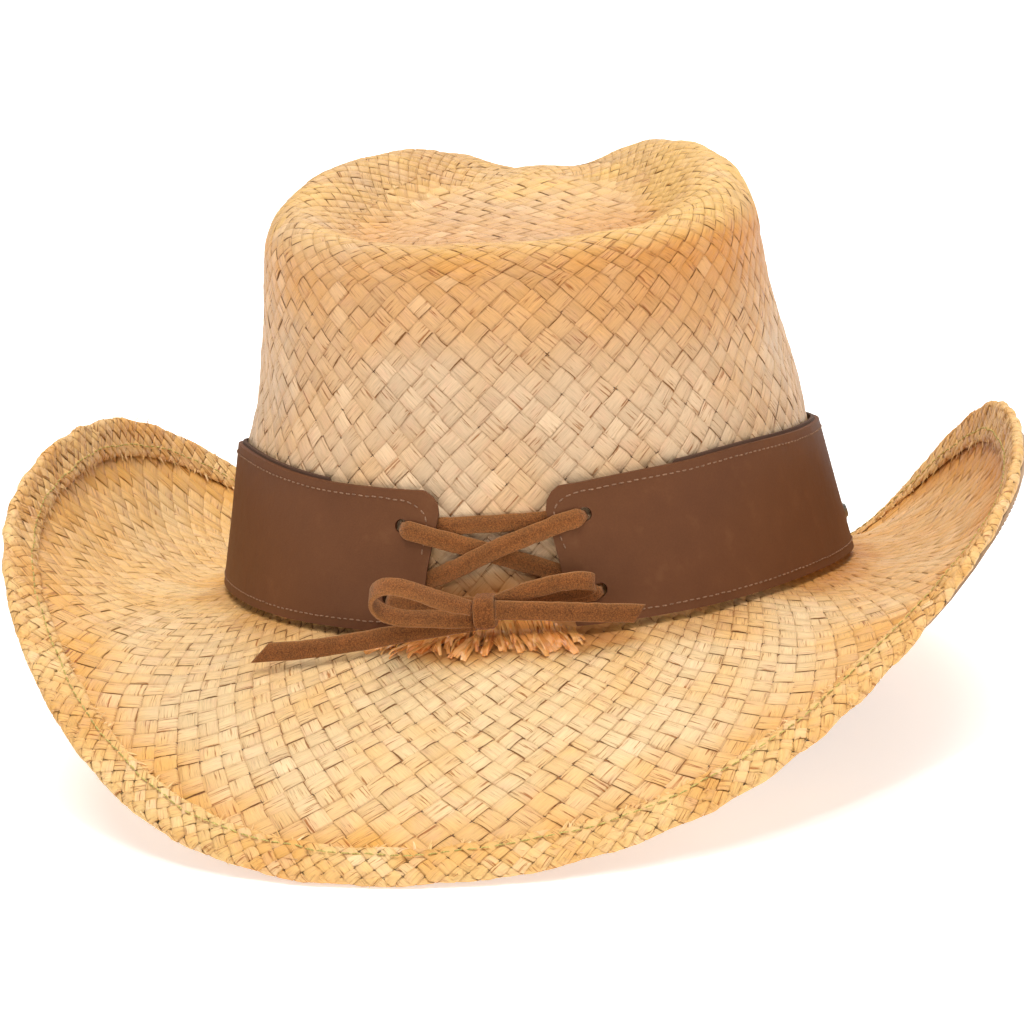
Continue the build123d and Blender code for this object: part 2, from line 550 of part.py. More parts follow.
whole = Compound([crown.part, brim.part, brim_hem.part, brim_patch.part, hatband_leather.part, bow_loop_left.part])
bb = whole.bounding_box()
print("box", bb.min, bb.max, "centre", (bb.min.X + bb.max.X) / 2, (bb.min.Y + bb.max.Y) / 2)
for nm, pts in (("left tail", tail_l), ("right tail", tail_r), ("left loop", [p for p, a in loop_l]), ("right loop", [p for p, a in loop_r])):
    pts = np.array(pts)
    print(nm, "length", round(float(np.linalg.norm(np.diff(pts, axis=0), axis=1).sum()), 1))
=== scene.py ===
import bpy
import bmesh
import math
import numpy as np
from mathutils import Matrix, Vector


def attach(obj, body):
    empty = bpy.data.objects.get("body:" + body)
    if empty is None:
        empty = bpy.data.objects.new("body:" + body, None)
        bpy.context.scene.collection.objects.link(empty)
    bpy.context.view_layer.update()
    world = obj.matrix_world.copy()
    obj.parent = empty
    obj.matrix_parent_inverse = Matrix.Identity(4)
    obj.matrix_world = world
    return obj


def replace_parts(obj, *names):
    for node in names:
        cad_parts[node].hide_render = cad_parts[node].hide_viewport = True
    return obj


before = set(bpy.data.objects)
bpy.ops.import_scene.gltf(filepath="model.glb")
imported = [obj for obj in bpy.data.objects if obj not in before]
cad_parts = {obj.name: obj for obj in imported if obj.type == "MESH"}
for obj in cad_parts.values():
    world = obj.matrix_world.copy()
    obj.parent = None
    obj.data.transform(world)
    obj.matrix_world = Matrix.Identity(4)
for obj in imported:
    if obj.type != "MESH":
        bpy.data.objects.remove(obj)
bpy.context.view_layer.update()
R2 = np.random.RandomState
D2R = np.pi / 180
SHIFT = np.array([3.2926, 2.6930, 46.3062])     # break-line frame -> part frame, mm

bpy.context.scene.view_settings.view_transform = "Standard"
bpy.context.scene.view_settings.look = "None"
bpy.context.scene.view_settings.exposure = 0.0
bpy.context.scene.view_settings.gamma = 1.0


# ------------------------------------------------------------------------------------------
# Shape of the hat, the same surfaces as the CAD model. phi in degrees, 0 at the back.
# ------------------------------------------------------------------------------------------
def cubic(xs, ys, periodic=False):
    xs = np.array(xs, float)
    ys = np.array(ys, float)
    n = len(xs)
    h = np.diff(xs)
    a = np.zeros((n, n))
    r = np.zeros(n)
    for i in range(1, n - 1):
        a[i, i - 1] = h[i - 1]
        a[i, i] = 2 * (h[i - 1] + h[i])
        a[i, i + 1] = h[i]
        r[i] = 6 * ((ys[i + 1] - ys[i]) / h[i] - (ys[i] - ys[i - 1]) / h[i - 1])
    if periodic:
        a[0, 0] = 1
        a[0, -1] = -1
        a[-1, 0] = 2 * h[0]
        a[-1, 1] = h[0]
        a[-1, -2] = h[-1]
        a[-1, -1] = 2 * h[-1]
        r[-1] = 6 * ((ys[1] - ys[0]) / h[0] - (ys[-1] - ys[-2]) / h[-1])
    else:
        a[0, 0] = a[-1, -1] = 1
    m = np.linalg.solve(a, r)

    def f(x):
        x = np.asarray(x, float)
        if periodic:
            x = xs[0] + np.mod(x - xs[0], xs[-1] - xs[0])
        i = np.clip(np.searchsorted(xs, x, side="right") - 1, 0, n - 2)
        p, q, hh = xs[i + 1] - x, x - xs[i], h[i]
        return ((m[i] * p**3 + m[i + 1] * q**3) / (6 * hh)
                + (ys[i] / hh - m[i] * hh / 6) * p + (ys[i + 1] / hh - m[i + 1] * hh / 6) * q)
    return f


def norm(v):
    return v / np.maximum(np.linalg.norm(v, axis=-1), 1e-9)[..., None]


def smooth(t):
    t = np.clip(t, 0, 1)
    return t * t * (3 - 2 * t)


ZT = [-16, -4, 0, 20, 40, 50, 60, 75, 90]
half_w = cubic(ZT, [87.7, 85.3, 84.5, 80.4, 76.6, 74.2, 71.8, 69.2, 66.6])
reach_b = cubic(ZT, [106.4, 104.2, 103.5, 99.8, 96.3, 94.6, 93.0, 90.9, 88.2])
reach_f = cubic(ZT, [107.7, 104.5, 103.5, 98.3, 92.8, 89.8, 86.8, 82.0, 75.5])
egg = cubic(ZT, [0, 0, 0, 0.02, 0.04, 0.055, 0.075, 0.13, 0.18])
lean = cubic(ZT, [0, 0, 0, 0, 0, 0.5, 0.75, 0.85, 1.0])


def wall(ph, z):
    ph, z = np.broadcast_arrays(np.asarray(ph, float), np.asarray(z, float))
    s, c = np.sin(ph * D2R), np.cos(ph * D2R)
    b, yb, yf = half_w(z), reach_b(z), reach_f(z)
    return np.stack([lean(z) + b * s * (1 + egg(z) * c), (yf - yb) / 2 - (yf + yb) / 2 * c, z], -1)


def off_wall(ph, z, d):
    q = wall(np.asarray(ph, float) + 0.5, z) - wall(np.asarray(ph, float) - 0.5, z)
    n = norm(np.stack([q[..., 1], -q[..., 0], 0 * q[..., 0]], -1))
    return wall(ph, z) + n * np.asarray(d, float)[..., None]


PH = [0, 45, 70, 90, 110, 130, 150, 165, 180]


def both_sides(v):
    return cubic([-p for p in PH[::-1]] + PH[1:], v[::-1] + v[1:], True)


crest_r = both_sides([.885, .87, .845, .81, .785, .775, .79, .815, .83])
crest_z = both_sides([100.0, 101.8, 105.8, 109.6, 112.0, 111.3, 107.6, 102.5, 99.5])
valley_r = both_sides([.52, .56, .50, .44, .41, .40, .42, .48, .55])
centre_z = cubic([-90, -60, -45, -30, -10, 5, 20, 35, 50, 62, 80],
                 [97, 95.4, 95.2, 96.0, 98.2, 100.5, 103.4, 105.2, 104.0, 101, 97])
TOP_Z, TOP_X, TOP_Y = 90.0, 1.0, -8.0


def top(ph, t):
    ph, t = np.broadcast_arrays(np.asarray(ph, float), np.asarray(t, float))
    o = wall(ph, TOP_Z + 0 * ph)
    rc, zr, rv = crest_r(ph), crest_z(ph), valley_r(ph)
    a = np.clip(t / 0.35, 0, 1) * np.pi / 2
    rho_o = rc + (1 - rc) * np.cos(a) ** 0.9
    z_o = TOP_Z + (zr - TOP_Z) * np.sin(a) ** 0.95
    rho_i = rc * (1 - np.clip((t - 0.35) / 0.65, 0, 1))
    x, y = (o[..., 0] - TOP_X) * rho_i, TOP_Y + (o[..., 1] - TOP_Y) * rho_i
    h = centre_z(y) - 0.9 * smooth((np.abs(TOP_X + x) - 6) / 22) * smooth((y + 40) / 40)
    z_i = h + (zr - h) * smooth((rho_i - rv) / (rc - rv))
    out = t <= 0.35
    rho, z = np.where(out, rho_o, rho_i), np.where(out, z_o, z_i)
    return np.stack([TOP_X + (o[..., 0] - TOP_X) * rho, TOP_Y + (o[..., 1] - TOP_Y) * rho, z], -1)


PB = list(range(-180, 181, 15))
edge_r = cubic(PB, [70, 70.5, 68.5, 67.5, 61.9, 55.9, 55.1, 58.3, 62.0, 65.3, 69.7, 74.4, 75.4, 70.8,
                    63.4, 57.8, 54.5, 51.0, 47.3, 47.0, 51.6, 57.3, 60.5, 66, 70], True)
edge_z = cubic(PB, [-45, -41, -22, 9.5, 28.9, 33.6, 30.7, 21.5, 4.7, -16.7, -34.8, -44.0, -44.8, -39.2,
                    -27.0, -9.0, 9.8, 22.9, 28.9, 30.3, 26.0, 8.6, -23, -39.5, -45], True)
break_z = cubic(PB, [-13, -12.5, -12, -11, -9, -6, -3, -1, 0, 0, 0, 0, 0, 0, 0, 0, 0, -1, -3, -6, -9,
                     -11, -12, -12.5, -13], True)
slope_in = cubic(PB, [4, 13, 25, 37, 47, 50, 44, 32, 18, 8, 0, -4, -4, -3, 3, 12, 24, 37, 48, 51, 47,
                      37, 25, 13, 4], True)
slope_out = cubic(PB, [-4, 6, 30, 45, 45, 42, 38, 30, 16, 4, -3, -6, -6, -5, 0, 12, 32, 45, 47, 47, 48,
                       48, 31, 6, -4], True)
sag = cubic(PB, [0, 0, 1, 2, 1, 0, 0, 0, 0, 0, 0, 0, 0, 0, 0, 0, 0, 0, 0, 0, 1, 2, 1, 0, 0], True)
OPEN_A, OPEN_B = 106.0, 87.0


def chord(ph):
    z0 = break_z(ph)
    return np.hypot(edge_r(ph) + 0.24 * z0, edge_z(ph) - z0)


def brim_pt(ph, s, off=0.0):
    ph, s = np.broadcast_arrays(np.asarray(ph, float), np.asarray(s, float))
    sn, cs = np.sin(ph * D2R), np.cos(ph * D2R)
    nx, ny = sn / OPEN_B, -cs / OPEN_A
    ln = np.hypot(nx, ny)
    nx, ny = nx / ln, ny / ln
    h, v, z0 = edge_r(ph), edge_z(ph), break_z(ph)
    r0 = -0.24 * z0
    ch, g = np.hypot(h - r0, v - z0), np.arctan2(v - z0, h - r0)
    b0, b1 = g - slope_in(ph) * D2R, g + slope_out(ph) * D2R
    k = 0.36 * ch
    r1, z1, r2, z2 = r0 + k * np.cos(b0), z0 + k * np.sin(b0), h - k * np.cos(b1), v - k * np.sin(b1)
    m, w = 1 - s, sag(ph)
    r = m**3 * r0 + 3 * m * m * s * r1 + 3 * m * s * s * r2 + s**3 * h
    z = m**3 * z0 + 3 * m * m * s * z1 + 3 * m * s * s * z2 + s**3 * v - w * np.sin(np.pi * s) ** 2
    dr = 3 * m * m * (r1 - r0) + 6 * m * s * (r2 - r1) + 3 * s * s * (h - r2)
    dz = 3 * m * m * (z1 - z0) + 6 * m * s * (z2 - z1) + 3 * s * s * (v - z2) - w * np.pi * np.sin(2 * np.pi * s)
    dl = np.hypot(dr, dz)
    r, z = r - off * dz / dl, z + off * dr / dl
    return np.stack([OPEN_B * sn + nx * r, -OPEN_A * cs + ny * r, z], -1)


def edge_pt(ph, d, off):
    return brim_pt(ph, 1 - d / (1.08 * chord(ph)), off)


band_top = cubic([-180, -90, -71, -57, -44, -31, -21, -12.6, 0, 15, 23, 31, 40, 50, 62, 78, 90, 180],
                 [39, 39, 41.0, 41.2, 40.3, 39.1, 38.6, 38.2, 37.9, 37.9, 38.8, 39.5, 39.8, 40.2, 39.7, 39, 38.9, 39], True)


def z_top(p):
    return break_z(p) + band_top(p)


def z_bot(p):
    return break_z(p) + 1.7


# ------------------------------------------------------------------------------------------
# Mesh helpers
# ------------------------------------------------------------------------------------------
def make(name, verts, faces, material, body="hat", attrs=None, sharp=None, flat=False):
    """A mesh piece from points in the break-line frame, mm."""
    me = bpy.data.meshes.new(name)
    pts = (np.asarray(verts, float) + SHIFT) / 1000
    fl = faces.tolist() if isinstance(faces, np.ndarray) else faces
    me.from_pydata(pts.tolist(), [], fl)
    me.polygons.foreach_set("use_smooth", np.full(len(me.polygons), not flat, bool))
    for key, val in (attrs or {}).items():
        val = np.asarray(val, np.float32)
        if val.ndim == 1:
            me.attributes.new(key, "FLOAT", "POINT").data.foreach_set("value", val)
        else:
            me.attributes.new(key, "FLOAT_VECTOR", "POINT").data.foreach_set("vector", val.ravel())
    me.validate()
    me.update()
    if sharp is not None:
        me.set_sharp_from_angle(angle=math.radians(sharp))
    ob = bpy.data.objects.new(name, me)
    bpy.context.scene.collection.objects.link(ob)
    for m in (material if isinstance(material, (list, tuple)) else [material]):
        me.materials.append(m)
    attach(ob, body)
    return ob


def grid_faces(nu, nv, close_v=False, base=0):
    """Quads over a nu x nv grid of points, closed round the second index if asked."""
    i = np.arange(nu - 1)[:, None]
    j = np.arange(nv if close_v else nv - 1)[None, :]
    j2 = (j + 1) % nv
    return (base + np.stack([i * nv + j, i * nv + j2, (i + 1) * nv + j2, (i + 1) * nv + j], -1)).reshape(-1, 4)


def tube_faces(count, nu, nring, base=0, caps=True):
    """Quads for count tubes of nu sections of nring points, laid out one after another."""
    f = grid_faces(nu, nring, True)
    out = [(f[None] + (np.arange(count) * nu * nring)[:, None, None]).reshape(-1, 4) + base]
    if not caps:
        return out[0].tolist()
    faces = out[0].tolist()
    for k in range(count):
        o = base + k * nu * nring
        faces.append([o + j for j in range(nring)][::-1])
        faces.append([o + (nu - 1) * nring + j for j in range(nring)])
    return faces


def resample(p, n):
    p = np.asarray(p, float)
    s = np.concatenate([[0], np.cumsum(np.linalg.norm(np.diff(p, axis=0), axis=1))])
    q = np.linspace(0, s[-1], n)
    return np.stack([np.interp(q, s, p[:, k]) for k in range(3)], -1)


def nurbs(name, pts, order=3, res=24):
    """The line of a NURBS spline whose control points are these (mm), read from Blender's own curve."""
    cu = bpy.data.curves.new(name, "CURVE")
    cu.dimensions = "3D"
    cu.resolution_u = res
    sp = cu.splines.new("NURBS")
    sp.points.add(len(pts) - 1)
    for q, p in zip(sp.points, pts):
        q.co = (*((np.array(p, float) + SHIFT) / 1000), 1)
    sp.order_u = order
    sp.use_endpoint_u = True
    ob = bpy.data.objects.new(name, cu)
    bpy.context.scene.collection.objects.link(ob)
    me = bpy.data.meshes.new_from_object(ob)
    line = np.array([v.co for v in me.vertices], float)
    bpy.data.objects.remove(ob)
    bpy.data.curves.remove(cu)
    bpy.data.meshes.remove(me)
    return line * 1000 - SHIFT


def flat_section(w, t, r):
    """A rounded strap section: 14 points, width along the first axis."""
    hw, ht = w / 2, t / 2
    r = min(r, ht * 0.98)
    pts = []
    for cx, cy, a0 in ((hw - r, ht - r, 0), (-hw + r, ht - r, 90), (-hw + r, -ht + r, 180), (hw - r, -ht + r, 270)):
        for a in (0, 45, 90):
            pts.append((cx + r * math.cos((a0 + a) * D2R), cy + r * math.sin((a0 + a) * D2R)))
    pts.insert(3, (0, ht))
    pts.insert(10, (0, -ht))
    return np.array(pts)


def strap(line, wdirs, width, thick, round_r=0.4, cut=0.0, cut0=0.0, wprof=None, tprof=None, seed=0, rough=0.05):
    """A flat suede strip swept along line, its width along wdirs. Returns points, faces, attributes."""
    line = np.asarray(line, float)
    n = len(line)
    rs = R2(seed)
    t = norm(np.gradient(line, axis=0))
    w = np.asarray(wdirs, float)
    w = norm(w - (w * t).sum(-1)[:, None] * t)
    nn = np.cross(t, w)
    s = np.concatenate([[0], np.cumsum(np.linalg.norm(np.diff(line, axis=0), axis=1))])
    wp = np.ones(n) if wprof is None else np.asarray(wprof(s, s[-1]), float)
    tp = np.ones(n) if tprof is None else np.asarray(tprof(s, s[-1]), float)
    # slow edge wander of a hand-cut strip
    k = max(4, int(s[-1] / 2.2))
    wl = np.interp(s, np.linspace(0, s[-1], k), rs.normal(0, rough, k))
    wr = np.interp(s, np.linspace(0, s[-1], k), rs.normal(0, rough, k))
    sec = flat_section(width, thick, round_r)
    m = len(sec)
    a = sec[:, 0][None, :] * wp[:, None] + np.where(sec[:, 0] > 0, 1, -1)[None, :] * np.where(sec[:, 0][None, :] > 0, wr[:, None], wl[:, None])
    b = sec[:, 1][None, :] * tp[:, None]
    sl = np.zeros((n, m))
    if cut or cut0:
        e1, e0 = np.clip(1 - (s[-1] - s) / 6.0, 0, 1), np.clip(1 - s / 6.0, 0, 1)
        sl = (cut * e1[:, None] + cut0 * e0[:, None]) * sec[:, 0][None, :] / width
    p = line[:, None] + a[..., None] * w[:, None] + b[..., None] * nn[:, None] + sl[..., None] * t[:, None]
    verts = p.reshape(-1, 3)
    faces = tube_faces(1, n, m)
    st = np.stack([a, np.repeat(s[:, None], m, 1), np.repeat(sec[:, 1][None, :], n, 0)], -1).reshape(-1, 3)
    edge = (np.abs(sec[:, 0]) / (width / 2)) ** 6
    return verts, faces, {"strand": st, "edge": np.repeat(edge[None], n, 0).ravel()}


def capsules(p0, p1, nrm, rad, flat=0.75, nseg=5, bow=0.0):
    """Many short rounded threads from p0 to p1, lifted in the middle by bow along nrm."""
    p0, p1, nrm = np.asarray(p0, float), np.asarray(p1, float), norm(np.asarray(nrm, float))
    c = len(p0)
    t = norm(p1 - p0)
    nrm = norm(nrm - (nrm * t).sum(-1)[:, None] * t)
    b = np.cross(t, nrm)
    u = np.linspace(0, 1, nseg)
    rr = np.sqrt(np.clip(1 - (2 * u - 1) ** 6, 0, 1)) * 0.999 + 0.02
    ang = np.arange(6) * np.pi / 3
    mid = p0[:, None] + (p1 - p0)[:, None] * u[None, :, None] + (bow * 4 * u * (1 - u))[None, :, None] * nrm[:, None]
    off = (np.cos(ang)[:, None] * b[:, None, None] + flat * np.sin(ang)[:, None] * nrm[:, None, None])
    v = mid[:, :, None] + off * (rad * rr)[None, :, None, None]
    return v.reshape(-1, 3), tube_faces(c, nseg, 6)


# ------------------------------------------------------------------------------------------
# Materials
# ------------------------------------------------------------------------------------------
def lin(r, g, b):
    f = lambda c: (c / 255) / 12.92 if c / 255 <= 0.04045 else (((c / 255) + 0.055) / 1.055) ** 2.4
    return (f(r), f(g), f(b), 1.0)


class Nodes:
    def __init__(self, name):
        self.m = bpy.data.materials.new(name)
        self.m.use_nodes = True
        self.t = self.m.node_tree
        self.out = self.t.nodes["Material Output"]
        self.b = self.t.nodes["Principled BSDF"]

    def n(self, kind, **kw):
        x = self.t.nodes.new(kind)
        for k, v in kw.items():
            setattr(x, k, v)
        return x

    def link(self, a, b):
        self.t.links.new(a, b)

    def attr(self, name, out="Fac"):
        return self.n("ShaderNodeAttribute", attribute_name=name).outputs[out]

    def math(self, op, a, b=0.0, c=0.0, clamp=False):
        x = self.n("ShaderNodeMath", operation=op, use_clamp=clamp)
        for k, v in enumerate((a, b, c)):
            if isinstance(v, (int, float)):
                x.inputs[k].default_value = v
            else:
                self.link(v, x.inputs[k])
        return x.outputs[0]

    def mapped(self, vec, scale, loc=(0, 0, 0)):
        x = self.n("ShaderNodeMapping")
        x.inputs["Scale"].default_value = scale
        x.inputs["Location"].default_value = loc
        self.link(vec, x.inputs["Vector"])
        return x.outputs[0]

    def noise(self, vec, scale, detail=3, rough=0.5, distortion=0.0):
        x = self.n("ShaderNodeTexNoise")
        x.inputs["Scale"].default_value = scale
        x.inputs["Detail"].default_value = detail
        x.inputs["Roughness"].default_value = rough
        x.inputs["Distortion"].default_value = distortion
        self.link(vec, x.inputs["Vector"])
        return x.outputs[0]

    def ramp(self, fac, stops):
        x = self.n("ShaderNodeValToRGB")
        e = x.color_ramp.elements
        while len(e) < len(stops):
            e.new(0.5)
        for el, (p, c) in zip(e, stops):
            el.position = p
            el.color = c if len(c) == 4 else (*c, 1)
        self.link(fac, x.inputs[0])
        return x.outputs[0]

    def mix(self, fac, a, b, kind="MIX"):
        x = self.n("ShaderNodeMix", data_type="RGBA", blend_type=kind)
        for k, v in ((0, fac), (6, a), (7, b)):
            if isinstance(v, (int, float)):
                x.inputs[k].default_value = v
            elif isinstance(v, tuple):
                x.inputs[k].default_value = v
            else:
                self.link(v, x.inputs[k])
        return x.outputs[2]

    def bump(self, height, strength, dist, normal=None):
        x = self.n("ShaderNodeBump")
        x.inputs["Strength"].default_value = strength
        x.inputs["Distance"].default_value = dist
        self.link(height, x.inputs["Height"])
        if normal is not None:
            self.link(normal, x.inputs["Normal"])
        return x.outputs[0]

    def set(self, **kw):
        for k, v in kw.items():
            sock = self.b.inputs[k.replace("_", " ")]
            if isinstance(v, (int, float, tuple)):
                sock.default_value = v
            else:
                self.link(v, sock)
        return self.m


def grey(v):
    return (v, v, v, 1.0)


def straw_material(name, pale, gold, brown, rough=0.45, depth=1.0, spec=0.30, blush=0.30):
    """Raffia: pale to golden by the stain attribute, fibres along each strand, tone by strand and crossing; painted
    highlight, painted shade and dark painted pin-hole spots from further attributes.
    """
    k = Nodes(name)
    st = k.attr("strand", "Vector")
    tone, stain = k.attr("tone"), k.attr("stain")
    fib = k.noise(k.mapped(st, (1.75, 0.085, 1.0)), 1.0, 4, 0.62, 0.25)
    fine = k.noise(k.mapped(st, (7.5, 0.22, 1.0)), 1.0, 2, 0.5)
    blot = k.noise(k.mapped(st, (0.30, 0.16, 1.0), (31, 7, 3)), 1.0, 2, 0.5)
    base = k.mix(stain, pale, gold)
    base = k.mix(k.math("MULTIPLY", k.ramp(tone, [(0.60, grey(0)), (1.0, grey(1))]), 0.15 + blush if blush > 0 else 0.0), base, lin(246, 214, 174))
    # painted highlight: golden straw where the sun attribute is high, standing for the key light on the crown top and
    # the brim's left side
    base = k.mix(k.math("MULTIPLY", k.attr("sun"), 0.85), base, lin(244, 197, 115))
    pink = k.ramp(blot, [(0.50, grey(0)), (0.72, grey(1))])
    base = k.mix(k.math("MULTIPLY", pink, blush), base, lin(224, 172, 138))
    dark = k.ramp(tone, [(0.0, grey(0.87)), (0.35, grey(0.96)), (1.0, grey(1.03))])
    base = k.mix(1.0, base, dark, "MULTIPLY")
    lines = k.ramp(fib, [(0.36, lin(188, 148, 108)), (0.42, grey(0.94)), (0.52, grey(1.0)), (0.70, grey(1.09))])
    some = k.ramp(k.noise(k.mapped(st, (0.28, 0.17, 1.0), (3, 51, 17)), 1.0, 1, 0.5), [(0.36, grey(0.12)), (0.54, grey(1.0))])
    base = k.mix(k.math("MULTIPLY", some, 0.95 * depth), base, lines, "MULTIPLY")
    thin = k.ramp(fine, [(0.30, grey(0.74)), (0.46, grey(1.0)), (0.70, grey(1.05))])
    base = k.mix(0.65 * depth, base, thin, "MULTIPLY")
    # brown at strand edges: partly the straw's own darker edges, partly painted shade where strands dip under their
    # neighbours and next to the crown foot
    base = k.mix(k.math("MULTIPLY", k.attr("edge"), 0.55), base, brown)
    # painted shade with an orange tint: the attribute darkens and warms the straw, and turns it orange-brown where it
    # is strong
    painted_shade_and_tint = k.attr("painted_shade_and_tint")
    base = k.mix(k.math("MULTIPLY", painted_shade_and_tint, 0.75), base, k.mix(1.0, base, lin(236, 216, 186), "MULTIPLY"))
    base = k.mix(k.math("MULTIPLY_ADD", painted_shade_and_tint, 0.40, -0.36, True), base, lin(196, 128, 66))
    # painted shade: dark spots at strand crossings, standing for the shadowed holes between cells
    base = k.mix(k.ramp(k.attr("pin_hole_shade"), [(0.62, grey(0)), (0.80, grey(1))]), base, lin(70, 46, 28))
    h = k.math("ADD", k.math("MULTIPLY", fib, 0.7), k.math("MULTIPLY", fine, 0.35))
    nrm = k.bump(h, 0.85, 0.0006)
    r = k.math("MULTIPLY_ADD", fib, 0.22, rough - 0.11)
    return k.set(Base_Color=base, Roughness=r, Normal=nrm, Specular_IOR_Level=spec)


straw = straw_material("straw_weave", lin(221, 188, 150), lin(230, 168, 91), lin(160, 104, 54))
brim_straw = straw_material("straw_brim", lin(237, 203, 152), lin(240, 180, 93), lin(158, 100, 46), depth=1.3)
hem_straw = straw_material("straw_hem", lin(242, 200, 132), lin(232, 172, 92), lin(150, 92, 40), 0.5, 1.1)
# painted shade: dark straw for the core sheet inside the weave, seen through the gaps between strands where there is
# only shade
shaded_core_straw = straw_material("straw_core_painted_shade", lin(176, 126, 76), lin(160, 108, 58), lin(136, 88, 46), 0.7)
tuft_straw = straw_material("straw_tuft", lin(255, 190, 108), lin(252, 154, 68), lin(200, 112, 44), 0.16, 1.1, 1.0, 0.0)


def thread_material(name, colour, dark):
    k = Nodes(name)
    co = k.n("ShaderNodeTexCoord").outputs["Object"]
    n1 = k.noise(k.mapped(co, (1, 1, 1)), 2600, 2)
    n2 = k.noise(k.mapped(co, (1, 1, 1)), 300, 2)
    c = k.mix(k.ramp(n1, [(0.35, grey(0)), (0.65, grey(1))]), dark, colour)
    c = k.mix(0.5, c, k.ramp(n2, [(0.3, grey(0.7)), (0.7, grey(1.1))]), "MULTIPLY")
    return k.set(Base_Color=c, Roughness=0.75, Normal=k.bump(n1, 0.6, 0.00015))


tan_thread = thread_material("tan_thread", lin(160, 120, 90), lin(116, 82, 58))
green_thread = thread_material("green_thread", lin(214, 196, 112), lin(160, 136, 62))
sweat_thread = thread_material("sweat_thread", lin(208, 190, 160), lin(150, 130, 100))


def leather_material(name, a, b, scuff, rough=0.52, grain=1.0):
    k = Nodes(name)
    co = k.n("ShaderNodeTexCoord").outputs["Object"]
    big = k.noise(co, 22, 3, 0.55)
    mid = k.noise(co, 130, 4, 0.6)
    fine = k.noise(co, 2400, 3, 0.6)
    v = k.n("ShaderNodeTexVoronoi", feature="DISTANCE_TO_EDGE")
    v.inputs["Scale"].default_value = 1500
    k.link(co, v.inputs["Vector"])
    pores = k.ramp(v.outputs[0], [(0.0, grey(0)), (0.12, grey(1))])
    c = k.mix(k.ramp(big, [(0.32, grey(0)), (0.68, grey(1))]), a, b)
    c = k.mix(0.55, c, k.ramp(mid, [(0.3, grey(0.90)), (0.7, grey(1.08))]), "MULTIPLY")
    c = k.mix(0.6, c, k.ramp(fine, [(0.3, grey(0.88)), (0.7, grey(1.08))]), "MULTIPLY")
    c = k.mix(k.math("MULTIPLY", k.ramp(mid, [(0.60, grey(0)), (0.74, grey(1))]), 0.18), c, scuff)
    h = k.math("ADD", k.math("MULTIPLY", fine, 0.5), k.math("MULTIPLY", pores, 0.3))
    nrm = k.bump(mid, 0.18, 0.0010, k.bump(h, 0.22 * grain, 0.00012))
    return k.set(Base_Color=c, Roughness=k.math("MULTIPLY_ADD", mid, 0.16, rough - 0.08), Normal=nrm, Specular_IOR_Level=0.12)


leather = leather_material("band_leather", lin(99, 61, 38), lin(108, 68, 42), lin(130, 88, 58), 0.58)
leather_edge = leather_material("band_edge", lin(62, 42, 32), lin(74, 50, 38), lin(90, 66, 50), 0.6)
backing = leather_material("band_backing", lin(92, 68, 54), lin(84, 60, 48), lin(110, 86, 70), 0.7)
patch_leather = leather_material("patch_leather", lin(190, 164, 138), lin(172, 146, 120), lin(205, 184, 162), 0.6)
sweat_leather = leather_material("sweat_band", lin(148, 108, 72), lin(132, 94, 62), lin(170, 134, 100), 0.5)


def suede_material(name, a, b, light):
    k = Nodes(name)
    co = k.n("ShaderNodeTexCoord").outputs["Object"]
    nap = k.noise(co, 2900, 2, 0.65)
    nap2 = k.noise(co, 5200, 2, 0.6)
    patchy = k.noise(co, 140, 3, 0.6)
    c = k.mix(k.ramp(patchy, [(0.3, grey(0)), (0.7, grey(1))]), a, b)
    c = k.mix(1.0, c, k.ramp(nap, [(0.34, grey(0.46)), (0.50, grey(1.0)), (0.66, grey(1.58))]), "MULTIPLY")
    c = k.mix(0.5, c, k.ramp(nap2, [(0.3, grey(0.8)), (0.7, grey(1.2))]), "MULTIPLY")
    # the suede's own lighter cut edges
    c = k.mix(k.math("MULTIPLY", k.attr("edge"), 0.30), c, light)
    h = k.math("ADD", nap, k.math("MULTIPLY", nap2, 0.5))
    m = k.set(Base_Color=c, Roughness=0.95, Normal=k.bump(h, 0.8, 0.0003), Specular_IOR_Level=0.15)
    k.b.inputs["Sheen Weight"].default_value = 0.18
    k.b.inputs["Sheen Roughness"].default_value = 0.6
    k.b.inputs["Sheen Tint"].default_value = (1.0, 0.78, 0.55, 1)
    return m


suede = suede_material("suede_lace", lin(131, 76, 35), lin(112, 65, 29), lin(190, 136, 82))


def metal_material(name):
    k = Nodes(name)
    co = k.n("ShaderNodeTexCoord").outputs["Object"]
    n1 = k.noise(co, 900, 4, 0.6)
    c = k.mix(k.ramp(n1, [(0.35, grey(0)), (0.7, grey(1))]), lin(150, 146, 140), lin(112, 108, 102))
    return k.set(Base_Color=c, Metallic=1.0, Roughness=k.math("MULTIPLY_ADD", n1, 0.25, 0.25), Normal=k.bump(n1, 0.15, 0.0002))


metal = metal_material("aged_metal")

# ------------------------------------------------------------------------------------------
# Camera and light
# ------------------------------------------------------------------------------------------
AL, EL, RO, DIST, FOC, CX, CY = 8.786 * D2R, 9.857 * D2R, 3.475 * D2R, 1507.5, 5434.9, 530.13, 415.07
back = np.array([math.sin(AL) * math.cos(EL), -math.cos(AL) * math.cos(EL), math.sin(EL)])
right = np.array([math.cos(AL), math.sin(AL), 0.0])
upv = np.cross(right, -back)
xc = math.cos(RO) * right - math.sin(RO) * upv
yc = math.sin(RO) * right + math.cos(RO) * upv
aim = -back + (512 - CX) / FOC * xc - (512 - CY) / FOC * yc        # through the middle of the picture
aim = aim / np.linalg.norm(aim)
xa = xc - xc.dot(aim) * aim
xa = xa / np.linalg.norm(xa)
ya = np.cross(-aim, xa)
cam = bpy.data.cameras.new("camera")
cam.sensor_width = 36.0
cam.sensor_fit = "HORIZONTAL"
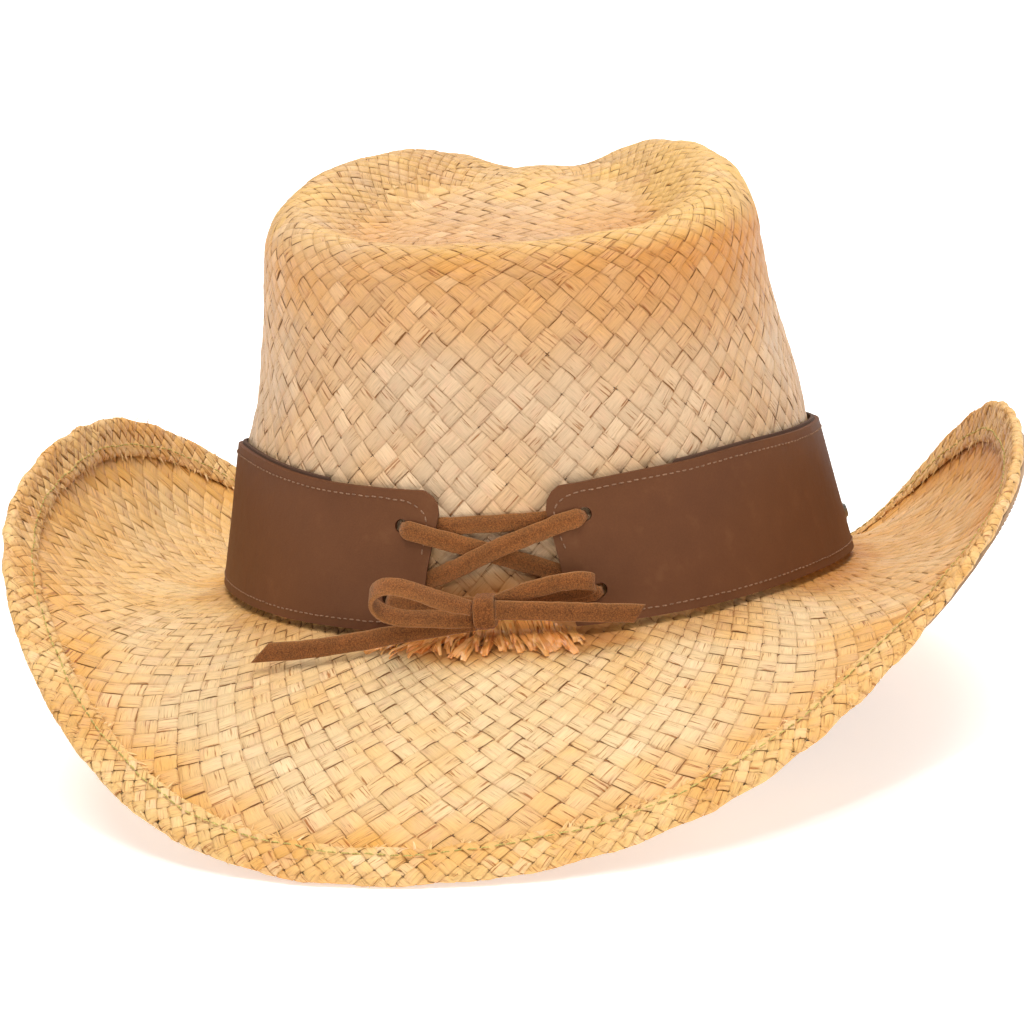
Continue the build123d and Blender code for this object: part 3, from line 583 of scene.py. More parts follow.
cam.lens = FOC / 1024 * 36.0 * 1.0
cam.clip_start, cam.clip_end = 0.05, 20
cam_ob = bpy.data.objects.new("camera", cam)
bpy.context.scene.collection.objects.link(cam_ob)
pos = (np.array([0, 0, 40.0]) + back * DIST + SHIFT) / 1000
cam_ob.matrix_world = Matrix([[xa[0], ya[0], -aim[0], pos[0]], [xa[1], ya[1], -aim[1], pos[1]],
                              [xa[2], ya[2], -aim[2], pos[2]], [0, 0, 0, 1]])
bpy.context.scene.camera = cam_ob


def area(name, loc, target, size, power, colour=(1, 1, 1)):
    li = bpy.data.lights.new(name, "AREA")
    li.shape = "RECTANGLE"
    li.size, li.size_y = size
    li.energy = power
    li.color = colour
    ob = bpy.data.objects.new(name, li)
    bpy.context.scene.collection.objects.link(ob)
    ob.location = loc
    d = Vector(target) - Vector(loc)
    ob.rotation_mode = "QUATERNION"
    ob.rotation_quaternion = d.to_track_quat("-Z", "Y")
    return ob


def sun(name, direction, power, spread, colour=(1, 1, 1)):
    li = bpy.data.lights.new(name, "SUN")
    li.energy = power
    li.angle = spread * D2R
    li.color = colour
    ob = bpy.data.objects.new(name, li)
    bpy.context.scene.collection.objects.link(ob)
    ob.rotation_mode = "QUATERNION"
    ob.rotation_quaternion = Vector(direction).to_track_quat("-Z", "Y")
    return ob


sun("key_light", (0.03, 0.13, -0.985), 2.85, 46, (1.0, 0.99, 0.965))
area("fill_left", (-1.5, -0.35, 0.85), (0, 0, 0.07), (0.9, 0.9), 3.0)
area("fill_right", (1.6, -0.10, 0.75), (0, 0, 0.07), (0.9, 0.9), 6.2)
area("front_fill", (0.2, -1.9, 0.45), (0, 0, 0.07), (1.4, 0.9), 0.3)
area("sparkle", (0.06, -0.62, 0.50), (0, -0.12, 0.045), (0.04, 0.04), 0.7)
area("rim_light", (0.1, 1.2, 1.1), (0, 0.05, 0.08), (1.2, 0.6), 7.0)

world = bpy.data.worlds.new("studio")
world.use_nodes = True
world.node_tree.nodes["Background"].inputs[0].default_value = (1.0, 1.0, 1.0, 1)
world.node_tree.nodes["Background"].inputs[1].default_value = 0.25
bpy.context.scene.world = world

# a wide flat floor, plain and pale, bright as in a light studio
fm = bpy.data.meshes.new("floor")
fx = np.array([-40, -12, -4, -1.5, 0, 1.5, 4, 12, 40.0])
fm.from_pydata([(x, y, -0.0004) for y in fx for x in fx], [], grid_faces(9, 9)[:, ::-1].tolist())
floor = bpy.data.objects.new("floor", fm)
bpy.context.scene.collection.objects.link(floor)
kf = Nodes("floor_paint")
fco = kf.n("ShaderNodeTexCoord").outputs["Object"]
kf.b.inputs["Emission Color"].default_value = (1, 1, 1, 1)
kf.b.inputs["Emission Strength"].default_value = 0.50
fm.materials.append(kf.set(Base_Color=kf.mix(kf.noise(fco, 3, 2), lin(244, 244, 244), lin(248, 248, 248)), Roughness=0.9))

# ------------------------------------------------------------------------------------------
# Suede tails of the bow: cords on their own NURBS lines
# ------------------------------------------------------------------------------------------
LACE_W, TAIL_T = 5.0, 1.3
TAIL_L = [(-1.05, -107.2, 5.2), (-5.0, -107.6, 4.6), (-10.0, -107.8, 3.9), (-20.4, -107.6, 2.5), (-34.5, -106.2, 0.0),
          (-48.2, -103.6, -2.2), (-59.8, -100.6, -3.2)]
TAIL_R = [(5.05, -111.6, 8.8), (10.0, -112.1, 8.7), (17.8, -112.0, 8.3), (24.0, -110.8, 7.6), (32.0, -108.0, 6.6), (41.5, -103.8, 5.2)]


def tail(name, ctrl, cut, seed, node, wscale=1.0):
    line = nurbs(name + "_line", ctrl)
    fine = resample(line, max(20, int(np.linalg.norm(np.diff(line, axis=0), axis=1).sum() / 0.8)))
    wd = np.repeat(np.array([[0, 0.1, 1.0]]), len(fine), 0)
    v, f, at = strap(fine, wd, LACE_W * wscale, TAIL_T, 0.45, cut=cut, seed=seed)
    ob = make(name, v, f, suede, "band", at)
    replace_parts(ob, node)
    return ob


tail("bow_tail_left", TAIL_L, -6.0, 3, "lace_tail_left")
tail("bow_tail_right", TAIL_R, 3.0, 4, "lace_tail_right", 1.0)

LOOP_L = [((-1.45, -111.3, 9.5), 8), ((-4.6, -114.2, 11.0), 18), ((-9.1, -116.8, 13.2), 32), ((-13.2, -118.9, 15.4), 42),
          ((-17.6, -119.8, 17.2), 45), ((-22.2, -119.2, 17.6), 45), ((-25.6, -117.3, 16.0), 45), ((-26.9, -114.9, 13.2), 45),
          ((-26.2, -112.4, 10.4), 45), ((-23.2, -110.9, 8.0), 45), ((-19.0, -110.4, 6.9), 45), ((-14.0, -110.3, 6.7), 42),
          ((-8.6, -110.0, 6.5), 32), ((-4.6, -109.8, 6.0), 18), ((-1.45, -109.5, 5.8), 8)]
LOOP_R = [((5.35, -109.8, 10.7), 4), ((9.0, -110.0, 12.0), 4), ((13.2, -109.6, 13.1), 4), ((18.6, -108.4, 14.3), 4), ((23.5, -106.6, 14.9), 4),
          ((27.2, -104.6, 14.6), 4), ((29.2, -102.9, 13.9), 4), ((29.6, -101.7, 13.0), 6), ((28.0, -101.3, 12.0), 6), ((24.5, -102.2, 11.2), 4),
          ((20.0, -103.6, 10.8), 4), ((15.0, -105.1, 10.5), 4), ((10.0, -106.4, 10.1), 4), ((5.35, -107.3, 9.6), 4)]


def loop(name, stations, width, seed, node):
    """A loop of the bow: the lace leaves the knot, turns over and goes back into it."""
    ctrl = [p for p, a in stations]
    line = nurbs(name + "_line", ctrl)
    total = np.linalg.norm(np.diff(line, axis=0), axis=1).sum()
    fine = resample(line, int(total / 0.6))
    c = np.array(ctrl)
    u = np.concatenate([[0], np.cumsum(np.linalg.norm(np.diff(c, axis=0), axis=1))])
    a = np.interp(np.linspace(0, 1, len(fine)), u / u[-1], [q for p, q in stations]) * D2R
    wd = np.stack([0 * a, np.sin(a), np.cos(a)], -1)
    v, f, at = strap(fine, wd, width, TAIL_T, 0.38, seed=seed, rough=0.07,
                     wprof=lambda s, n: 0.80 + 0.20 * smooth(np.minimum(s, n - s) / 9))
    ob = make(name, v, f, suede, "band", at)
    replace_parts(ob, node)
    return ob


loop("bow_lace_left", LOOP_L, LACE_W, 5, "bow_loop_left")
loop("bow_lace_right", LOOP_R, LACE_W - 0.4, 6, "bow_loop_right")


def held(stations, width, thick, seed, wprof=None):
    """A strip that lies flat on the band or the crown, from stations (phi, height, distance off the wall)."""
    line = nurbs("strip_line", [off_wall(p, z, np.float64(d)) for p, z, d in stations])
    total = np.linalg.norm(np.diff(line, axis=0), axis=1).sum()
    fine = resample(line, int(total / 0.6))
    t = norm(np.gradient(fine, axis=0))
    nrm = norm(np.stack([fine[:, 0] / OPEN_B ** 2, fine[:, 1] / OPEN_A ** 2, 0 * fine[:, 0] + 2e-3], -1))
    return strap(fine, np.cross(t, nrm), width, thick, 0.3, seed=seed, rough=0.07, wprof=wprof)


def merge(*pieces):
    vs, fs, base = [], [], 0
    ats = {k: [] for k in pieces[0][2]}
    for v, f, at in pieces:
        vs.append(v)
        fs += [[i + base for i in q] for q in (f.tolist() if isinstance(f, np.ndarray) else f)]
        base += len(v)
        for k in ats:
            ats[k].append(at[k])
    return np.concatenate(vs), fs, {k: np.concatenate(x) for k, x in ats.items()}


into = lambda s, n: 0.50 + 0.50 * smooth((s - 0.8) / 3.0)             # squeezed where it comes out of the hole
outof = lambda s, n: 0.50 + 0.50 * smooth((n - s - 0.8) / 3.0)
A_OUT = [(19.55, 29.8, 1.2), (19.25, 29.7, 1.9), (18.6, 29.65, 3.05), (17.35, 29.4, 3.25), (15, 28.6, 3.12), (12.5, 27.5, 3.12), (8, 25.4, 3.05), (3.9, 23.4, 2.9), (0, 20.9, 2.6),
         (-2.5, 19.1, 2.2), (-5, 17.5, 1.4), (-7.4, 16.0, .85), (-9.9, 14.7, .80), (-13.5, 12.2, .80), (-17.2, 9.7, .80)]
A_LEAD = [(-17.5, 9.8, 1.2), (-17.2, 9.8, 2.0), (-16.4, 9.8, 3.05), (-13, 9.5, 3.2), (-9, 9.2, 3.12), (-5, 8.9, 3.12), (-0.75, 8.7, 3.12)]
B_OUT = [(-14.55, 28.7, 1.2), (-14.25, 28.65, 1.9), (-13.6, 28.5, 3.05), (-12.5, 28.0, 3.25), (-10, 27.1, 3.12), (-7.6, 26.1, 3.05), (-6, 25.4, 2.6), (-4.2, 24.5, 1.9), (-2.5, 23.7, 1.3),
         (0, 22.5, 1.0), (3.7, 20.8, .85), (9.3, 18.0, .80), (14.3, 15.2, .80), (17.5, 12.8, .80), (21.3, 9.9, .80)]
B_LEAD = [(21.4, 10.0, 1.2), (21.1, 10.0, 2.0), (20.4, 10.0, 3.05), (16, 10.0, 3.2), (11, 9.8, 3.12), (7, 9.5, 3.12), (3.25, 9.2, 3.12)]
BAR = [(-13.0, 28.55, .80), (-10, 28.65, .80), (-7, 28.75, .80), (-4, 28.9, .80), (-1, 29.0, .80), (2, 29.05, .80),
       (5, 29.1, .80), (8, 29.15, .80), (11, 29.2, .80), (14, 29.4, .80), (18.0, 29.65, .80)]
for name, node, pieces in (
        ("lace_across", "lace_bar", [held(BAR, 4.6, 0.8, 21)]),
        ("lace_crossing_a", "lace_strip_a", [held(A_OUT, LACE_W, 0.95, 22, into), held(A_LEAD, LACE_W - 0.4, 0.95, 23, into)]),
        ("lace_crossing_b", "lace_strip_b", [held(B_OUT, LACE_W, 0.95, 24, into), held(B_LEAD, LACE_W - 0.4, 0.95, 25, into)])):
    v, f, at = merge(*pieces)
    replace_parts(make(name, v, f, suede, "band", at, sharp=80), node)

# the knot: one turn of the lace round the others, pinched in at its edges, with the creases of a pulled strip
KNOT_C, KX, KY, KZ = np.array([2.0, -108.4, 7.9]), 5.6, 8.4, 9.2
kx = np.concatenate([[-1.0, -0.985, -0.95, -0.88], np.linspace(-0.78, 0.78, 15), [0.88, 0.95, 0.985, 1.0]])
ka = np.linspace(0, 2 * np.pi, 56, endpoint=False)
ks = R2(31)
kn = [(ks.randint(1, 6), ks.uniform(0.4, 2.2), ks.uniform(0, 6.28), ks.uniform(-1, 1)) for _ in range(12)]
px, pa = np.meshgrid(kx, ka, indexing="ij")
se = lambda c: np.sign(c) * np.abs(c) ** 0.62
crease = sum(w * np.sin(a * pa + b * px + c) for a, b, c, w in kn) / 12
ridge = -0.30 * np.exp(-((px + 0.42 + 0.10 * np.sin(pa)) / 0.07) ** 2) - 0.22 * np.exp(-((px - 0.55 - 0.08 * np.cos(pa * 2)) / 0.06) ** 2)
body_r = 1.0 - 0.05 * px ** 2 + 0.07 * crease - (1 - np.sqrt(np.clip(1 - np.clip((np.abs(px) - 0.80) / 0.20, 0, 1) ** 2, 0, 1))) * 0.14
ky, kz = se(np.cos(pa)) * KY / 2 * body_r, se(np.sin(pa)) * KZ / 2 * body_r
inward = ridge / 4.5
kv = np.stack([KNOT_C[0] + px * KX / 2 * (1 + 0.05 * np.cos(2 * pa)), KNOT_C[1] + ky * (1 + inward), KNOT_C[2] + kz * (1 + inward)], -1)
n1, n2 = kv.shape[:2]
kf_ = grid_faces(n1, n2, True).tolist() + [list(range(n2))[::-1], [(n1 - 1) * n2 + i for i in range(n2)]]
kat = {"strand": np.stack([px * 2.8, pa * 4.0, 0 * px], -1).reshape(-1, 3), "edge": (np.abs(px) ** 8).ravel()}
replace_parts(make("bow_knot_wrap", kv.reshape(-1, 3), kf_, suede, "band", kat, sharp=75), "bow_knot")


# ------------------------------------------------------------------------------------------
# Weave: two families of closed raffia ribbons on a surface given by (phi, distance along the meridian)
# ------------------------------------------------------------------------------------------
def even_phi(curve):
    """Round-the-hat share (0 to 1) -> phi, by length along the closed curve phi -> point."""
    ph = np.linspace(0, 360, 721)
    p = curve(ph)
    s = np.concatenate([[0], np.cumsum(np.linalg.norm(np.diff(p, axis=0), axis=1))])
    s /= s[-1]
    return lambda x: np.interp(np.mod(x, 1.0), s, ph) + 360 * np.floor(x)


STEPS = np.array([0.0, 0.09, 0.5, 0.91])
WAVE = np.array([0.0, 0.90, 1.0, 0.90])
ACROSS = np.array([-1.0, -0.955, -0.25, 0.35, 0.955, 1.0, 0.5, -0.5])
RING = len(ACROSS)


def strands(rs, n, kk, sgn, height, mid, thick, gap, drop, jitter, cell_mm, swap, place, lead):
    """One family of n ribbons over the crossings kk. place turns (a, b) into points, outside flags and info.
    lead is 1 where crossing k of ribbon i is at i + k, as on a ring."""
    k1 = kk[-1] + 1
    along = np.concatenate([(kk[:, None] + STEPS[None]).ravel(), [k1]])
    wave = np.append(np.tile(WAVE, len(kk)), 0.0)
    cell = np.append(np.repeat(np.arange(len(kk)), 4), len(kk) - 1)
    hj = 1 + rs.uniform(-0.30, 0.30, (n, len(kk)))
    tj = rs.uniform(0, 1, (n, len(kk)))
    ts = rs.uniform(0, 1, n)
    wj = 1.03 - jitter * (rs.uniform(-0.03, 0.07, (n, 1)) + 0.035 * np.abs(rs.normal(0, 1, (n, len(kk))))[:, cell])
    knot = np.minimum(cell + (np.append(np.tile(STEPS, len(kk)), 0) > 0.4), len(kk))
    cj = jitter * rs.normal(0, 0.028, (n, len(kk) + 1))[:, knot]
    fold = rs.uniform(-0.05, 0.10, (2, n, len(kk) + 1))[:, :, knot] * rs.choice([0.3, 1.0, 1.6], (2, n, 1)) * (0.5 + 0.5 * jitter)
    half = (0.5 - gap) * wj
    across = ACROSS[None, None, :] * half[..., None] + cj[..., None]
    a = np.arange(n)[:, None, None] + 0.5 + across
    b = np.arange(n)[:, None, None] * lead + along[None, :, None] + 0 * across
    hh = height * (wave[None, :] * sgn(np.arange(n)[:, None], kk[None, :])[:, cell]) * hj[:, cell]
    prof = np.array([-drop, thick / 2 - 0.015, thick / 2, thick / 2, thick / 2 - 0.015, -drop, -thick / 2, -thick / 2])
    off = mid + hh[..., None] + prof[None, None, :]
    off[..., 2] += fold[0]
    off[..., 3] += fold[1]
    off[..., 6] += 0.5 * fold[1]
    off[..., 7] += 0.5 * fold[0]
    p, out, inf = place(*((b, a) if swap else (a, b)), off)
    nl = len(along)
    q = grid_faces(nl, RING, True)
    f = (q[None] + (np.arange(n) * nl * RING)[:, None, None]).reshape(-1, 4)
    f = f[~out.reshape(-1)[f].all(1)]
    rid = rs.uniform(0, 400, n)
    st = np.stack([across * cell_mm, along[None, :, None] * cell_mm + 0 * across + rid[:, None, None] * 3, rid[:, None, None] + 0 * across], -1)
    tc = 0.45 * ts[:, None] + 0.55 * tj
    # darker strand edges, plus painted shade where a strand dips under its neighbour
    ev = np.array([1.0, 0.12, 0.0, 0.0, 0.12, 1.0, 0.2, 0.2])
    ej = rs.uniform(0.25, 1.15, (n, len(kk)))[:, cell][..., None]
    edge = np.clip((ev[None, None, :] * 0.8 + ((1 - wave) * 0.60)[None, :, None]) * ej + 0 * across, 0, 1)
    # cell corners, where a dark spot of painted shade can go
    pin_hole_shade = ((wave < 0.01)[None, :, None] & (np.abs(ACROSS) > 0.9)[None, None, :]) + 0.0 * across
    at = {"strand": st.reshape(-1, 3), "tone": np.repeat(tc[:, cell][..., None], RING, -1).ravel(), "edge": edge.ravel(), "pin_hole_shade": pin_hole_shade.ravel()}
    return p.reshape(-1, 3), f, at, inf


def weave(surface, phi_of, n, m0, m1, radius, height, mid, seed, thick=0.20, limit=None, gap=0.0, drop=0.02, wobble=None, cell_mm=5.3, jitter=1.0):
    """Returns points, faces and attributes of both strand families between meridian distances m0 and m1."""
    rs = R2(seed)
    mm = np.linspace(m0 - 12, m1 + 12, 400)
    gg = np.concatenate([[0], np.cumsum(n / (2 * np.pi * radius((mm[1:] + mm[:-1]) / 2)) * np.diff(mm))])
    gg -= np.interp(m0, mm, gg)
    g1 = float(np.interp(m1, mm, gg))

    def place(a, b, off):
        x, g = (a + b) / 2 / n, (a - b) / 2
        m = np.interp(np.clip(g, 0, g1), gg, mm)
        out = (g < -1e-9) | (g > g1 + 1e-9)
        ph = phi_of(x)
        if limit is not None:
            lm = limit(ph)
            out |= m > lm
            m = np.minimum(m, lm)
        if wobble is not None:
            off = off + wobble(ph, m)
        return surface(ph, m, off), out, np.stack([ph, m], -1).reshape(-1, 2)

    pieces = []
    for fam in (0, 1):
        k0, k1 = (math.floor(0.5 - 2 * g1), math.ceil(0.5)) if fam == 0 else (math.floor(0.5), math.ceil(0.5 + 2 * g1))
        way = 1.0 if fam == 0 else -1.0
        pieces.append(strands(rs, n, np.arange(k0, k1), lambda i, k, w=way: w * np.where((k + 0 * i) % 2 == 0, 1.0, -1.0),
                              height, mid, thick, gap, drop, jitter, cell_mm, fam == 1, place, 1))
    return join(pieces)


def flat_weave(surface_xy, centre, cell, reach, height, mid, seed, thick=0.20, gap=0.0, drop=0.02, jitter=1.0, angle=45.0):
    """A square weave over a patch of surface_xy(x, y, off), out to the distance reach from its centre."""
    rs = R2(seed)
    n = int(2 * math.ceil(reach / cell) + 2)
    ca, sa = math.cos(angle * D2R), math.sin(angle * D2R)

    def place(a, b, off):
        u, w = (a - n / 2) * cell, (b - n / 2) * cell
        x, y = centre[0] + ca * u - sa * w, centre[1] + sa * u + ca * w
        r = np.hypot(u, w)
        out = r > reach
        k = np.minimum(1.0, reach / np.maximum(r, 1e-6))
        x, y = centre[0] + (x - centre[0]) * k, centre[1] + (y - centre[1]) * k
        return surface_xy(x, y, off - 0.60 * smooth((r - (reach - 9)) / 9)), out, np.stack([x, y], -1).reshape(-1, 2)

    pieces = [strands(rs, n, np.arange(0, n), lambda i, k, w=way: w * np.where((i + k) % 2 == 0, 1.0, -1.0), height, mid, thick, gap, drop, jitter,
                      cell, fam == 1, place, 0) for fam, way in ((0, 1.0), (1, -1.0))]
    return join(pieces)


def drop_loose(v, f, at, info):
    """Keeps only the points that a face uses."""
    used = np.zeros(len(v), bool)
    used[f.ravel()] = True
    idx = np.cumsum(used) - 1
    return v[used], idx[f], {k: x[used] for k, x in at.items()}, info[used]


def join(parts):
    vs, fs, ats, infos, base = [], [], [], [], 0
    for v, f, at, info in parts:
        vs.append(v)
        fs.append(f + base)
        ats.append(at)
        infos.append(info)
        base += len(v)
    return (np.concatenate(vs), np.concatenate(fs), {k: np.concatenate([a[k] for a in ats]) for k in ats[0]}, np.concatenate(infos))


# crown meridian: distance from the foot of the wall upwards, then over the crest to the weave's centre
t_tab = np.linspace(0, 1, 201)
ph_tab = np.arange(0, 360, 10.0)
tp = top(ph_tab[:, None], t_tab[None, :])
t_len = np.concatenate([[0], np.cumsum(np.linalg.norm(np.diff(tp, axis=1), axis=-1).mean(0))])
WALL_L = 91.5
M_TOP = WALL_L + t_len[-1]


def crown_base(ph, m):
    z = np.clip(m, -20, WALL_L) * (TOP_Z / WALL_L)
    t = np.interp(m - WALL_L, t_len, t_tab)
    w, tt = wall(ph, z), top(ph, t)
    return np.where((m <= WALL_L)[..., None], w, tt)


def crown_surface(ph, m, off):
    a = crown_base(ph + 0.5, m) - crown_base(ph - 0.5, m)
    m2, m1 = np.minimum(m + 0.8, M_TOP - 0.01), m - 0.8
    b = crown_base(ph, m2) - crown_base(ph, m1)
    return crown_base(ph, m) + norm(np.cross(a, b)) * np.asarray(off)[..., None]


def crown_radius(m):
    ph = np.arange(0, 360, 6.0)
    p = crown_base(ph[None, :], np.asarray(m, float)[:, None])
    per = np.linalg.norm(np.roll(p, -1, 1) - p, axis=-1).sum(1)
    return np.maximum(per / (2 * np.pi), 0.5)


def lumps(amp, fx, fm, seed):
    """A slow unevenness of the whole sheet, the same for both strand families."""
    rs = R2(seed)
    k = [(rs.randint(2, fx), rs.uniform(0.4, 1) / fm, rs.uniform(0, 6.28), rs.uniform(0.5, 1)) for _ in range(14)]
    s = math.sqrt(sum(w * w for *_, w in k) / 2)
    return lambda ph, m: amp / s * sum(w * np.sin(a * ph * D2R + b * m * 2 * np.pi + c) for a, b, c, w in k)


crown_phi = even_phi(lambda p: wall(p, 45.0))
mr = np.linspace(WALL_L, M_TOP - 0.5, 120)
rr = crown_radius(mr)
m_at = lambda r: float(np.interp(-r, -rr, mr))
crown_lumps = lumps(0.22, 22, 22.0, 5)
crown_wob = lambda ph, m: crown_lumps(ph, m) * (1 - smooth((m - m_at(58.0)) / (m_at(44.0) - m_at(58.0))))
tip_ph = np.linspace(0, 360, 721)
tip_o = wall(tip_ph, TOP_Z + 0 * tip_ph)
tip_dx, tip_dy = tip_o[:, 0] - TOP_X, tip_o[:, 1] - TOP_Y
tip_th = np.unwrap(np.arctan2(tip_dx, -tip_dy))
tip_r = np.hypot(tip_dx, tip_dy)


def tip_surface(x, y, off):
    """The tip of the crown over x, y, through the same surface as the rest."""
    dx, dy = x - TOP_X, y - TOP_Y
    th = np.mod(np.arctan2(dx, -dy) - tip_th[0], 2 * np.pi) + tip_th[0]
    ph = np.interp(th, tip_th, tip_ph)
    rho = np.hypot(dx, dy) / np.interp(th, tip_th, tip_r)
    t = 0.35 + 0.65 * (1 - rho / crest_r(ph))
    t = np.clip(t, 0.36, 0.985)
    p = top(ph, t)
    e = 0.8
    def raw(xx, yy):
        ddx, ddy = xx - TOP_X, yy - TOP_Y
        tt = np.mod(np.arctan2(ddx, -ddy) - tip_th[0], 2 * np.pi) + tip_th[0]
        pp = np.interp(tt, tip_th, tip_ph)
        rr_ = np.maximum(np.hypot(ddx, ddy), 1.5) / np.interp(tt, tip_th, tip_r)
        return top(pp, np.clip(0.35 + 0.65 * (1 - rr_ / crest_r(pp)), 0.36, 0.999))[..., 2]
    z0 = raw(x, y)
    gx, gy = (raw(x + e, y) - raw(x - e, y)) / (2 * e), (raw(x, y + e) - raw(x, y - e)) / (2 * e)
    n = norm(np.stack([-gx, -gy, np.ones_like(gx)], -1))
    return np.stack([x, y, z0], -1) + n * np.asarray(off)[..., None]


TIP_R = 37.0
zones = [(70, -1.0, m_at(46.0)), (50, m_at(46.8), m_at(26.0))]
parts = []
for z, (n, a, b) in enumerate(zones):
    parts.append(weave(crown_surface, crown_phi, n, a, b, crown_radius, 0.24, -0.85 - 0.06 * z,
                       11 + z, wobble=crown_wob, cell_mm=5.3 if z == 0 else 4.6))
flat = flat_weave(tip_surface, (TOP_X, TOP_Y), 5.0, TIP_R, 0.24, -0.66, 15)
flat = (flat[0], flat[1], flat[2], np.stack([0 * flat[3][:, 0], m_at(30.0) + 0 * flat[3][:, 0]], -1))
parts.append(flat)
v, f, at, info = drop_loose(*join(parts))


def clouds(seed, count=9, lo=0.012, hi=0.05):
    rs = R2(seed)
    k = [(rs.normal(0, 1, 3), rs.uniform(lo, hi), rs.uniform(0, 6.28)) for _ in range(count)]
    return lambda p: sum(np.sin((p @ (d / np.linalg.norm(d))) * w * 2 * np.pi / 1.0 + c) for d, w, c in k) / math.sqrt(count / 2)


cl1, cl2 = clouds(2), clouds(8, 12, 0.02, 0.09)
z = v[:, 2]
stain = 0.06 + 0.84 * smooth((z - 60) / 44) + 0.10 * cl1(v) + 0.08 * cl2(v) + 0.40 * smooth((14 - z) / 14)
# painted highlight on the crown top: hilite makes the straw paler there (less stain) and golden through the sun
# attribute
hilite = smooth((z - 94) / 8)
stain = stain + 0.22 * smooth((z - 62) / 30) * smooth((v[:, 0] - 10) / 45) * (1 - hilite) - 0.35 * hilite
inner_top = smooth((info[:, 1] - m_at(44.0)) / 10)
stain = stain * (1 - 0.35 * inner_top)
at["stain"] = np.clip(stain, 0, 1)
# painted shade: darker straw at the crown foot, next to the band
at["edge"] = np.clip(at["edge"] + 0.30 * smooth((14 - (z - break_z(info[:, 0]))) / 13) * (z < 40), 0, 1)
wph = np.mod(info[:, 0] + 180, 360) - 180
under_bow = smooth((wph + 20) / 7) * smooth((27 - wph) / 7)
# painted sunlight: golden highlight on the crown top, stronger towards the right
at["sun"] = hilite * np.clip(0.50 + 0.20 * cl2(v) + 0.5 * smooth((v[:, 0] - 5) / 35), 0, 1)
# painted shade under the bow, all round the crown foot below the band, and on the upper crown's right side; the upper
# crown below the top darker and warmer
at["painted_shade_and_tint"] = np.clip(under_bow * smooth((19 - z) / 13) * 2.4 + (1.0 + 0.3 * cl2(v)) * smooth((30 - z) / 20) + 0.65 * smooth((z - 58) / 26) * smooth((v[:, 0] - 12) / 40) * (1 - hilite)
                     + 0.45 * smooth((z - 60) / 30) * (1 - hilite), 0, 3.0)
# noise that picks which cell corners get a painted-shade spot, most on the lower crown and a few on the top
cl_pin_hole_shade = clouds(33, 14, 0.08, 0.19)
at["pin_hole_shade"] = at["pin_hole_shade"] * (cl_pin_hole_shade(v) + 0.9 * cl1(v * 1.7) > np.where(z < 58, 0.10 + smooth((z - 38) / 20) * 1.1, np.where(z > 96, 1.2, 2.0)))
crown_ob = make("crown_weave", v, f, straw, "hat", at, sharp=70)
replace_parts(crown_ob, "crown")



def thin_sheet(name, surface, phs, ms, off, thick, material, body, limit=None, wobble=None):
    """A closed sheet of even thickness on a surface, once round the hat."""
    pp, mm = np.meshgrid(phs, ms, indexing="ij")
    if limit is not None:
        mm = mm * 0 + ms[0] + (mm - ms[0]) / (ms[-1] - ms[0]) * (limit(pp) - ms[0])
    o = np.full(pp.shape, off) + (wobble(pp, mm) if wobble is not None else 0)
    a = surface(pp, mm, o)
    b = surface(pp, mm, o - thick)[:, ::-1]
    p = np.concatenate([a, b], 1)
    nu, nv = p.shape[:2]
    f = grid_faces(nu + 1, nv, True)
    f = (f // nv % nu) * nv + f % nv
    # On the brim core the painted shade fades towards the rolled-up sides, which get a painted golden highlight
    # instead.
    side = smooth((np.abs(np.mod(pp + 180, 360) - 180) - 38) / 40) * (name == "brim_core")
    at = {"strand": np.stack([pp, mm, 0 * pp], -1), "tone": 0 * pp + 0.2, "stain": 0 * pp + 0.6, "edge": 1 - 0.8 * side, "sun": 0.9 * side}
    at = {k: np.concatenate([x, x[:, ::-1]], 1).reshape((-1, 3) if k == "strand" else -1) for k, x in at.items()}
    return make(name, p.reshape(-1, 3), f, material, body, at, sharp=60)


# the crown's core: a thin dark sheet inside the weave, painted shade behind its gaps
thin_sheet("crown_core", crown_surface, np.arange(0, 360, 2.0), np.concatenate([np.linspace(-1, WALL_L, 34), np.linspace(WALL_L + 1.2, m_at(9.0), 70)]),
           -0.84, 0.07, shaded_core_straw, "hat", wobble=crown_wob)

# brim: distance from the break line outwards along each section
NM, S_TAB = 260, np.linspace(0, 1, 121)
ph_grid = np.arange(-180, 181, 3.0)
bp = brim_pt(ph_grid[:, None], S_TAB[None, :])
b_len = np.concatenate([np.zeros((len(ph_grid), 1)), np.cumsum(np.linalg.norm(np.diff(bp, axis=1), axis=-1), 1)], 1)
M_GRID = np.linspace(0, 110, NM)
s_table = np.array([np.interp(M_GRID, b_len[i], S_TAB) for i in range(len(ph_grid))])
brim_len = cubic(ph_grid, np.append(b_len[:-1, -1], b_len[0, -1]), True)


def bilinear(tab, ph, m):
    u = (np.mod(ph + 180, 360)) / 3.0
    w = np.clip(m, 0, 109.9) / (110 / (NM - 1))
    i, j = np.floor(u).astype(int), np.floor(w).astype(int)
    i, j = np.clip(i, 0, len(ph_grid) - 2), np.clip(j, 0, NM - 2)
    fu, fw = u - i, w - j
    return (tab[i, j] * (1 - fu) * (1 - fw) + tab[i + 1, j] * fu * (1 - fw) + tab[i, j + 1] * (1 - fu) * fw + tab[i + 1, j + 1] * fu * fw)


